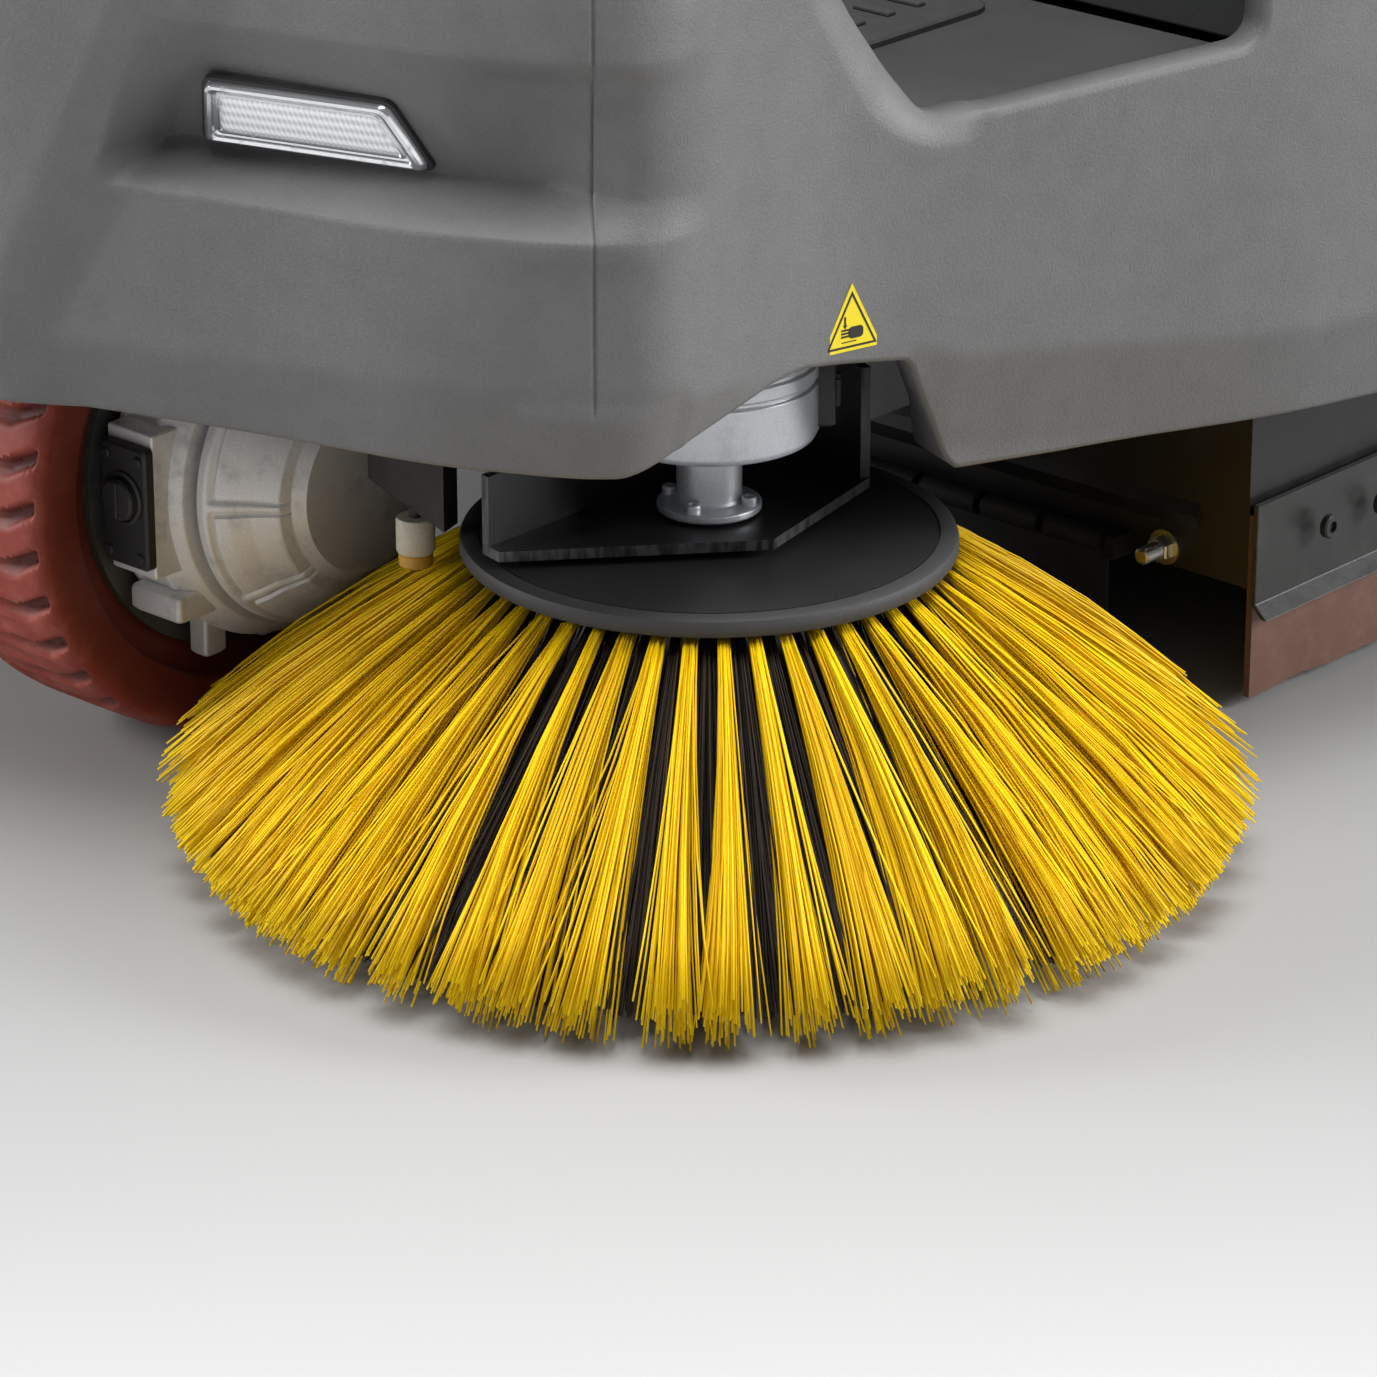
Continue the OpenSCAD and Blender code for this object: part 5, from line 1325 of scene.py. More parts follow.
@dataclass
class DriveUnit:
    """The steered gearbox, motor, terminal cover and wheel."""

    axis_z: float = 143.0
    gearbox_r: float = 88.0

    def build(self) -> None:
        """Build everything that turns with the steering shaft, then the wheel."""
        self._gearbox()
        self._motor()
        self._cover()
        Tread(143.0, 100.0, -64.0, 17.0, depth=6.0, bulge=9.0).build(
            (0, 0, self.axis_z), "front_tyre_tread", "front_wheel", "tyre_red", Finish.TYRE_RED, "front_tyre")

    def _gearbox(self) -> None:
        """Build the drum with its ribs, feet and bright lip."""
        r = self.gearbox_r
        profile = [(30, 9), (r - 3, 9), (r, 10.5), (r, 14), (r - 1.2, 14.6), (r - 1.2, 33), (r, 34), (r, 37),
                   (r - 1.5, 38.5), (r - 7, 47), (r - 9, 49.5), (r - 14, 50), (30, 50)]

        def pads(angle: float, radius: float, x: float) -> float:
            """Return raised pads and the flat behind the cover."""
            if radius < r - 8:
                return 0.0
            rib = 2.2 * math.exp(-((((angle * 9 / TAU) % 1.0) - 0.5) / 0.045) ** 2)
            return rib if 14.5 < x < 34 else 0.0

        form = Form().revolve(profile, (0, 0, self.axis_z), "x", 144, pads)
        for y in (-44.0, -7.0, 30.0):
            form.block((13, y, 48), (25, y + 14, 92), 2.0)
        for z0, z1 in ((self.axis_z + 46, self.axis_z + 58), (self.axis_z - 62, self.axis_z - 48)):
            form.block((12, -r + 8, z0), (46, -52, z1), 2.5)
        form.block((14, -r - 4, self.axis_z - 36), (44, -62, self.axis_z + 36), 1.2)
        form.make("drive_gearbox_casting", "steer_unit", "aluminium", Finish.ALUMINIUM, "drive_gearbox",
                  bevel=0.6)

    def _motor(self) -> None:
        """Build the motor's end bell with its pressed panels, and a black ring painted as the shadowed gap
        behind it.
        """
        profile = [(60, 55), (74.5, 55), (76, 56), (76, 60), (75, 62), (69, 70), (62, 77), (54, 88), (48, 90),
                   (43, 95), (8, 95.2)]
        fine = []
        for a, b in zip(profile, profile[1:]):
            fine.extend([tuple(along((*a, 0), (*b, 0), k / 9)[:2]) for k in range(9)])
        fine.append(profile[-1])

        def panels(angle: float, radius: float, x: float) -> float:
            """Return the outline grooves of the pressed panels."""
            if not 57 < x < 90:
                return 0.0
            phase = (angle * 8 / TAU) % 1.0
            side = math.exp(-((min(phase, 1 - phase) - 0.06) / 0.016) ** 2) if x > 62 else 0.0
            ring = math.exp(-((x - 62.8) / 1.0) ** 2) if 0.06 < phase < 0.94 else 0.0
            return -2.6 * max(side, ring)

        Form().revolve(fine, (0, 0, self.axis_z), "x", 360, panels).make(
            "drive_motor_bell", "steer_unit", "aluminium", Finish.ALUMINIUM, "drive_motor", sharp=40)
        # Painted shadow: a black ring fills the gap between gearbox and bell.
        Form().revolve([(50, 49.8), (68, 49.8), (68, 55.4), (50, 55.4)], (0, 0, self.axis_z), "x", 96).make(
            "drive_motor_painted_shadow_ring", "steer_unit", "dark_plastic", Finish.BLACK_PLASTIC, bevel=0.5)

    def _cover(self) -> None:
        """Build the terminal cover with its round slotted cap."""
        face = -self.gearbox_r - 10
        z = self.axis_z
        form = Form()
        rows = []
        for inset, y in ((0, -92.4), (0, face + 1.2), (1.2, face)):
            outline = rounded_box(15 - inset, 30 - inset, 2.5, 4)
            rows.append([(30 + u, y, z + v) for u, v in outline])
        form.rows(rows, ring=True, caps=True)
        cap = [(13.2, -0.2), (13.2, 1.2), (11.6, 1.8), (11.2, 0.6), (10.6, 0.6), (10.2, 4.0), (9.0, 5.2),
               (0.1, 5.4)]
        at = (30, face, z + 4)
        turned = [(r, -h) for r, h in cap]
        form.revolve(turned, at, "y", 48, lambda a, r, h: 0.0)
        form.block((28.2, face - 6.4, z - 5), (31.8, face - 4.0, z + 13), 0.6)
        for dx, dz in ((-10.5, -24), (10.5, -24), (-10.5, 24), (10.5, 24)):
            form.revolve([(2.6, 0.4), (2.6, -0.8), (2.0, -1.4), (0.1, -1.5)], (30 + dx, face, z + dz), "y",
                         16)
        form.make("terminal_cover_plate", "steer_unit", "dark_plastic", Finish.BLACK_PLASTIC,
                  "terminal_cover")


# ---------------------------------------------------------------- side brush


@dataclass
class SideBrush:
    """The disc, its tufts of yellow filament and the dark inner row."""

    at: tuple[float, float] = (269.0, 43.0)
    disc_r: float = 114.0
    top: float = 153.0
    thick: float = 10.0
    tufts: int = 48
    outer_each: int = 84
    inner_each: int = 34
    seed: int = 7

    def build(self) -> None:
        """Build the disc and both rows."""
        self._disc()
        rng = random.Random(self.seed)
        root_z = self.top - self.thick - 1.0
        outer = self._row(rng, self.outer_each, self.disc_r - 6.5, root_z, (36, 2.7), (254.5, 234), 0.5,
                          3.0, 3.2)
        outer.form.make("side_brush_outer_bristles", "side_brush", "bristle_yellow", Finish.YELLOW_BRISTLE,
                        "side_brush_bristles", sharp=180)
        inner = self._row(rng, self.inner_each, self.disc_r - 17.0, root_z, (22, 2.7), (238, 206), 0.55,
                          3.3, 4.2)
        inner.form.make("side_brush_inner_bristles", "side_brush", "bristle_black", Finish.BLACK_BRISTLE,
                        sharp=180)

    def _disc(self) -> None:
        """Build the disc: a smooth top, a narrow grained rim and holes for the tufts' roots."""
        r, t, h = self.disc_r, self.top, self.thick
        x, y = self.at
        top = [(r - 9.4, t), (r - 8.6, t + 0.25), (60, t), (31, t), (30.2, t - 0.6), (9, t - 0.6)]
        Form().revolve([(9, t - h), (r - 12, t - h)] + [(r - 9.6, t - h + 0.4), (r - 9.4, t)] + top[2:],
                       (x, y, 0), "z", 128).make(
            "side_brush_disc_top", "side_brush", "disc_charcoal", Finish.DISC, "side_brush_disc")
        rim = [(r - 9.2, t - h), (r - 5, t - h), (r - 1, t - h + 1.5), (r, t - h + 3), (r, t - 3),
               (r - 0.8, t - 1),
               (r - 2.4, t - 0.1), (r - 8.4, t), (r - 9.2, t - 1.0)]
        Form().revolve(rim, (x, y, 0), "z", 160).make(
            "side_brush_rim", "side_brush", "disc_charcoal", Finish.GREY_RIM)

    def _row(self, rng: random.Random, each: int, root_r: float, root_z: float, tip_z: tuple[float, float],
             tip_r: tuple[float, float], radius: float, bundle: float, splay: float) -> Strands:
        """Fill one ring of tufts.

        Args:
            rng: Seeded source of the filaments' spread.
            each: Filaments in a tuft.
            root_r: Radius of the ring of roots.
            root_z: Height of the roots.
            tip_z: Highest and lowest tips.
            tip_r: Radii of those tips.
            radius: A filament's radius.
            bundle: A tuft's radius at the root.
            splay: Sideways spread of the tips, in degrees.

        Returns:
            The strands.
        """
        strands = Strands()
        axis = Vector((*self.at, 0))
        for tuft in range(self.tufts):
            heading = TAU * (tuft + (0.5 if root_r < 100 else 0)) / self.tufts
            lean = rng.gauss(0, 0.8)
            for _ in range(each):
                out, side = rng.gauss(0, 0.45), rng.gauss(0, 0.45)
                out, side = max(-1.0, min(1.0, out)), max(-1.0, min(1.0, side))
                share = min(max(0.5 - 0.5 * out + rng.gauss(0, 0.13), 0), 1)
                turn = heading + math.radians(lean + side * splay + rng.gauss(0, 0.9))
                reach = tip_r[0] + (tip_r[1] - tip_r[0]) * share + rng.gauss(0, 1.4)
                drop = tip_z[0] + (tip_z[1] - tip_z[0]) * share + rng.gauss(0, 0.8)
                if rng.random() < 0.012:
                    turn += math.radians(rng.uniform(-7, 7))
                reach, drop = min(reach, 254.8), max(drop, 2.4)
                root_turn = heading + side * bundle / root_r
                root = root_r + out * bundle
                bow = Vector((math.cos(turn), math.sin(turn), 0.75)) * (3.5 + rng.gauss(0, 1.4))
                path = []
                for t in (0, 0.12, 0.34, 0.6, 0.82, 1):
                    now = root_turn + (turn - root_turn) * t ** 1.35
                    r = root + (reach - root) * t
                    spot = Vector((r * math.cos(now), r * math.sin(now), root_z + (drop - root_z) * t))
                    path.append(axis + spot + bow * (4 * t * (1 - t)))
                strands.add(path, radius * rng.uniform(0.85, 1.15), min(max(rng.gauss(0.32, 0.26), 0), 1))
        return strands


@dataclass
class BrushCarrier:
    """The bracket, the brush motor over the disc and the small guide roller."""

    at: tuple[float, float] = (269.0, 43.0)

    def build(self) -> None:
        """Dress the bracket and build the motor."""
        dress("brush_arm", Finish.BRACKET, 1.0)
        dress("side_brush_hub", Finish.STEEL, 0.5)
        dress("brush_link_upper", Finish.BRACKET, 0.8)
        dress("brush_link_lower", Finish.BRACKET, 0.8)
        self._motor()
        self._roller()

    def _motor(self) -> None:
        """Build the motor's shell with its two grooves, foot flange, screws and connector."""
        x, y = self.at
        profile = [(9, 163), (23, 163), (24, 164), (24, 166.6), (23, 167.4), (16, 168), (15, 169.5),
                   (15, 197),
                   (17, 199), (45, 199.4), (48.5, 200.6), (50, 204), (50, 226.4), (48.6, 227.2),
                   (48.6, 228.8),
                   (50, 229.6), (50, 235.4), (48.6, 236.2), (48.6, 237.8), (50, 238.6), (50, 277),
                   (48.6, 281),
                   (45, 283.6), (20, 284), (9, 284)]
        form = Form().revolve(profile, (x, y, 0), "z", 96)
        for turn in (20, 110, 200, 290):
            a = math.radians(turn)
            px, py = x + 19.5 * math.cos(a), y + 19.5 * math.sin(a)
            form.revolve([(3.6, 167), (3.6, 170.6), (3.0, 171.4), (1.7, 171.4), (1.7, 169.6), (0.1, 169.6)],
                         (px, py, 0), "z", 12)
        form.make("side_brush_motor_shell", "brush_carrier", "aluminium", Finish.MOTOR, "side_brush_motor",
                  bevel=0.3)
        plug = Form().block((-10, -6.5, 205), (10, 7, 237), 1.5)
        for dx in (-4, 4):
            plug.tube([(dx, 5, 214), (dx, 7.6, 214), (dx, 7.8, 226), (dx, 5, 226)], 1.6, 10)
        turn = Matrix.Translation((x, y, 0)) @ Matrix.Rotation(math.radians(42 - 90), 4, "Z") @ \
            Matrix.Translation((0, 50, 0))
        plug.points = [tuple(turn @ Vector(p)) for p in plug.points]
        plug.make("side_brush_motor_plug", "brush_carrier", "dark_plastic", Finish.BLACK_PLASTIC)

    def _roller(self) -> None:
        """Build the roller's pale wheel and amber hub."""
        at = (168, -45, 0)
        Form().revolve([(3.1, 141), (8.4, 141), (9, 142), (9, 156.6), (8.4, 157.8), (3.1, 158)], at, "z",
                       40).make(
            "guide_roller_wheel", "roller", "roller_white", Finish.ROLLER, "guide_roller")
        Form().revolve([(3.1, 134.2), (7.2, 134.2), (8, 135.2), (8, 140), (7.2, 141), (3.1, 141)], at, "z",
                       40).make(
            "guide_roller_foot", "roller", "roller_white", Finish.AMBER)


# ---------------------------------------------------------------- broom, deck and hopper


@dataclass
class BroomDeck:
    """The deck with its skirts, clamp strips and the hinged front flap."""

    half_w: float = 359.3
    y0: float = 334.0
    y1: float = 640.0
    skirt_t: float = 3.6

    def build(self) -> None:
        """Build the rubber parts and dress the steel ones."""
        dress("deck_housing", Finish.STEEL, 1.0)
        dress("deck_clamps", Finish.CLAMP, 0.6)
        self._bolts()
        form = Form()
        for side in (1, -1):
            rows = []
            for k in range(63):
                y = self.y0 + (self.y1 - self.y0) * k / 62
                wave = 1.6 * math.sin(y * 0.045 + side) + 0.7 * math.sin(y * 0.13)
                outer, inner = [], []
                for z in (100.0, 70.0, 50.0, 30.0, 14.0, 5.0):
                    out = wave * (1 - min(z / 52, 1)) ** 1.3 + 0.8 * (1 - min(z / 52, 1))
                    x = self.half_w + out
                    ragged = 0.7 * math.sin(y * 0.9) * math.sin(y * 0.37) if z < 10 else 0.0
                    inner.append((side * x, y, z + ragged))
                    outer.append((side * (x + self.skirt_t), y, z + ragged))
                rows.append(outer + inner[::-1])
            form.rows(rows, ring=True, caps=True)
        form.block((-self.half_w + 5, self.y1 + 0.4, 3), (self.half_w - 5, self.y1 + 4.2, 60), 0.8)
        form.make("deck_rubber_skirts", "chassis", "skirt_rubber", Finish.SKIRT, "deck_skirts", sharp=60)
        self._flap()

    def _bolts(self) -> None:
        """Build the dark clamp screws and the plated bolts of the front plate."""
        dark, plated = Form(), Form()
        for side in (1, -1):
            for y in (378, 422, 500, 580):
                turned = [(6, 373.7), (6, 376.6), (5.2, 377.4), (3.0, 377.4), (3.0, 375.4), (0.1, 375.4)]
                dark.revolve([(r, side * h) for r, h in turned], (0, y, 86), "x", 24)
            plated.revolve([(9, -0.1), (9, -1.6), (7.2, -1.8)], (side * 309, 334, 71), "y", 32)
            plated.revolve([(6.8, -1.8), (6.8, -6.6), (5.8, -7.4), (4.1, -7.4)], (side * 309, 334, 71), "y",
                           6)
            shank = [(4.0 + 0.35 * (k % 2), -7.0 - 0.7 * k) for k in range(18)]
            plated.revolve([*shank, (3.2, -19.8), (0.1, -19.9)], (side * 309, 334, 71), "y", 24)
        dark.make("deck_clamp_screws", "chassis", "dark_plastic", Finish.BLACK_PLASTIC, "deck_bolts")
        plated.make("deck_plated_bolts", "chassis", "chrome", Finish.ZINC)

    def _flap(self) -> None:
        """Build the front flap: a sheet on a rolled hinge."""
        form = Form()
        rows = []
        half, steps, front, back = 279, 56, 324.2, 327.8
        top, middle, foot = 66, 40, 4
        for k in range(steps + 1):
            x = -half + 2 * half * k / steps
            curl = 1.1 * math.sin(x * 0.05)
            rows.append([(x, front, top), (x, front + curl * 0.5, middle), (x, front + curl, foot),
                         (x, back + curl, foot), (x, back + curl * 0.5, middle), (x, back, top)])
        form.rows(rows, ring=True, caps=True)
        for k in range(14):
            x = -278 + k * 40
            form.revolve([(3.1, x), (6, x + 0.4), (6, x + 35.6), (3.1, x + 36)], (0, 326, 68), "x", 24)
        form.make("front_flap_sheet", "flap", "skirt_rubber", Finish.FLAP, "front_flap", sharp=50)


@dataclass
class Broom:
    """The roller broom: spiral rows of tufts on the core."""

    y: float = 480.0
    z: float = 117.0
    half_l: float = 303.0
    radius: float = 114.6
    core_r: float = 38.4
    rows: int = 12
    pitch: float = 15.0
    seed: int = 11

    def build(self) -> None:
        """Plant the tufts and dress the core, arms and belt."""
        rng = random.Random(self.seed)
        strands = Strands()
        count = int(2 * self.half_l / self.pitch)
        for row in range(self.rows):
            for k in range(count):
                x = -self.half_l + self.pitch * (k + 0.5)
                turn = TAU * row / self.rows + 1.1 * (x / self.half_l)
                for _ in range(11):
                    a = turn + rng.gauss(0, 0.05)
                    px = x + rng.gauss(0, 2.6)
                    tip = max(-self.half_l, min(self.half_l, px + rng.gauss(0, 3.0)))
                    bend = a + 0.05
                    reach = self.radius - abs(rng.gauss(0, 1.2))
                    root = Vector((px, self.y + self.core_r * math.cos(a),
                                   self.z + self.core_r * math.sin(a)))
                    mid = Vector((px, self.y + 76 * math.cos(a + 0.01), self.z + 76 * math.sin(a + 0.01)))
                    end = Vector((tip, self.y + reach * math.cos(bend), self.z + reach * math.sin(bend)))
                    strands.add([root, mid, end], 0.75, min(max(rng.gauss(0.4, 0.25), 0), 1))
        strands.form.make("broom_tufts", "broom", "bristle_black", Finish.BROOM_BRISTLE, "broom_bristles",
                          sharp=180)
        dress("broom_core", Finish.DARK_PLASTIC, 0.6)
        dress("broom_arms", Finish.STEEL, 0.8)
        dress("broom_drive", Finish.MOTOR, 0.4)
        dress("drive_belt", Finish.GRIP, 0.3)


@dataclass
class RearWheels:
    """Two rear wheels with ribbed solid tyres."""

    axle: tuple[float, float] = (1010.0, 140.0)
    radius: float = 140.0
    inner: float = 85.0
    x0: float = 360.0
    x1: float = 430.0

    def build(self) -> None:
        """Build the tyres and dress the rims."""
        y, z = self.axle
        Tread(self.radius, self.inner, self.x0, self.x1, 32, 4.0).build(
            (0, y, z), "rear_tyre_left_tread", "rear_wheel_left", "tyre_grey", Finish.TYRE_GREY,
            "rear_tyre_left")
        Tread(self.radius, self.inner, -self.x1, -self.x0, 32, 4.0).build(
            (0, y, z), "rear_tyre_right_tread", "rear_wheel_right", "tyre_grey", Finish.TYRE_GREY,
            "rear_tyre_right")
        for node in ("rear_rim_left", "rear_rim_right"):
            dress(node, Finish.RIM, 1.2)


# ---------------------------------------------------------------- driver's place


@dataclass
class Controls:
    """Steering wheel, dash, mat, pedals and switches."""

    wheel_at: tuple[float, float, float] = (0.0, 80.0, 950.0)
    lean: float = 29.2
    ring_r: float = 167.0
    grip_r: float = 13.0

    def wheel_frame(self) -> Matrix:
        """Return the steering wheel's frame, z along the column."""
        return Matrix.Translation(self.wheel_at) @ Matrix.Rotation(math.radians(-self.lean), 4, "X")

    def build(self) -> None:
        """Build the wheel and dash and dress the rest."""
        self._wheel()
        self._dash()
        self._mat()
        dress("steering_column", Finish.BLACK_PLASTIC, 1.0)
        # The footwell's finish is darkened as painted shade.
        dress("footwell_tub", Finish.TUB_PAINTED_SHADE, 2.0)
        dress("emergency_stop", Finish.SAFETY_RED, 1.6)
        dress("key_switch", Finish.CHROME, 0.5)
        dress("program_dial", Finish.BLACK_PLASTIC, 0.8)
        dress("display_panel", Finish.BLACK_PLASTIC, 1.2)
        for node in ("accelerator_pedal", "brake_pedal"):
            dress(node, Finish.GRIP, 1.0)
        self._screen()

    def _wheel(self) -> None:
        """Build the padded ring with finger waves, three swept spokes, hub and shaft."""
        matrix = self.wheel_frame()
        form = Form()
        steps, sides = 120, 20
        rows = []
        for i in range(steps):
            a = TAU * i / steps
            wave = 0.8 * math.cos(a * 36)
            row = []
            for k in range(sides):
                b = TAU * k / sides
                finger = wave if math.sin(b) < 0.2 else 0.0
                r = self.ring_r + (self.grip_r + finger - 0.8) * math.cos(b)
                row.append(matrix @ Vector((r * math.cos(a), r * math.sin(a),
                                            (self.grip_r - 0.8) * math.sin(b))))
            rows.append(row)
        form.rows(rows, ring=True, loop=True)
        for a in (90, 210, 330):
            turn = matrix @ Matrix.Rotation(math.radians(a), 4, "Z")
            rows = []
            for t in (0.0, 0.15, 0.35, 0.6, 0.85, 1.0):
                x = 26 + (self.ring_r - 30) * t
                half = 17 - 6 * math.sin(math.pi * min(t * 1.1, 1)) + 3 * t
                rise = -7 - 4 * math.sin(math.pi * t) * 0.8 + 7 * t
                rows.append([turn @ Vector((x, u * half, rise + 4.2 * v)) for u, v in
                             ((-1, -0.3), (-0.8, -1), (0.8, -1), (1, -0.3), (1, 0.3), (0.8, 1), (-0.8, 1),
                              (-1, 0.3))])
            form.rows(rows, ring=True, caps=True)
        hub = [(9.5, -16), (38, -17), (42, -13), (42, 0), (40, 4), (34, 6), (33, 4.6), (30, 4.6), (12, 5.6),
               (0.1, 6)]
        cap = Form().revolve(hub, (0, 0, 0), "z", 64)
        cap.revolve([(9.9, -400), (9.9, -16)], (0, 0, 0), "z", 32)
        form.add([matrix @ Vector(p) for p in cap.points], cap.faces)
        form.make("steering_wheel_grip", "steering_wheel_body", "grip", Finish.GRIP, "steering_wheel",
                  sharp=40)

    def _dash(self) -> None:
        """Build the sloping dash with its raised console and the column's cuff."""
        cowl = Cowl()
        z0, z1 = 600.0, 738.0
        rows = []
        for z in np.linspace(z0, z1, 29):
            y = cowl.entry_y - (z - cowl.sill_z) / cowl.entry_lean - 2.0
            lengths = cowl.plan.length
            pts = cowl.place(lengths, np.full(lengths.shape, z))
            near = int(np.argmax(pts[:, 1] > y)) or len(lengths) - 1
            half = float(pts[near, 0]) - 7.0
            row = []
            for u in np.linspace(-1, 1, 81):
                x = half * u
                bump = float((1 - step(abs(x), 84, 124)) * step(z, 612, 640) * (1 - step(z, 696, 722)))
                dish = 3.0 * math.cos(u * math.pi / 2)
                row.append((x, y - dish * 0.4 + 38 * bump * (0.8 + 0.2 * (690 - z) / 60), z))
            rows.append(row)
        form = Form().rows(rows)
        piece = form.make("dash_moulding", "chassis", "dark_plastic", Finish.BLACK_PLASTIC, "dash_console",
                          sharp=60)
        shell = piece.modifiers.new("shell", "SOLIDIFY")
        shell.thickness = SKIN_THICK * MM
        shell.offset = 1.0
        matrix = self.wheel_frame()
        cuff = Form().revolve([(20, -372), (34, -374), (33, -352), (28, -336), (22, -326), (20, -325)],
                              (0, 0, 0), "z", 40)
        cuff.points = [tuple(matrix @ Vector(p)) for p in cuff.points]
        cuff.make("column_cuff", "chassis", "dark_plastic", Finish.GRIP)

    def _mat(self) -> None:
        """Build the ribbed floor mat with rounded corners."""
        form = Form()
        rows = []
        for inset, z in ((0, 346), (0, 348.6), (1.4, 350)):
            rows.append([(x, 170 + y, z) for x, y in rounded_box(250 - inset, 100 - inset, 18, 6)])
        form.rows(rows, ring=True, caps=True)
        for row in range(9):
            for col in range(12):
                x, y = -228 + col * 39.6, 82 + row * 21.6
                form.block((x, y, 349.5), (x + 22, y + 6.5, 352), 1.0)
        form.make("floor_mat_treads", "chassis", "mat_rubber", Finish.MAT, "floor_mat", sharp=40)

    def _screen(self) -> None:
        """Lay the dark window in the display's frame."""
        low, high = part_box("display_panel")
        mid = (low + high) / 2 - ORIGIN
        tilt = math.atan(1.71)
        frame_at = Matrix.Translation((mid.x / MM, mid.y / MM + 2, mid.z / MM + 1)) @ \
            Matrix.Rotation(-tilt, 4, "X")
        Form().prism(rounded_box(41, 25, 2, 4), 2.4, 4.0, frame_at).make(
            "display_window", "chassis", "dark_plastic", Finish.SCREEN)
        marks = Form()
        for k in range(4):
            x = -30 + k * 20
            marks.prism([(x + 5 * math.cos(a), -12 + 5 * math.sin(a)) for a in
                         [TAU * i / 20 for i in range(20)]], 4.0, 4.6, frame_at)
        marks.prism([(-34, 4), (34, 4), (34, 6), (-34, 6)], 4.0, 4.3, frame_at)
        marks.make("display_buttons", "chassis", "grip", Finish.ROLLER)


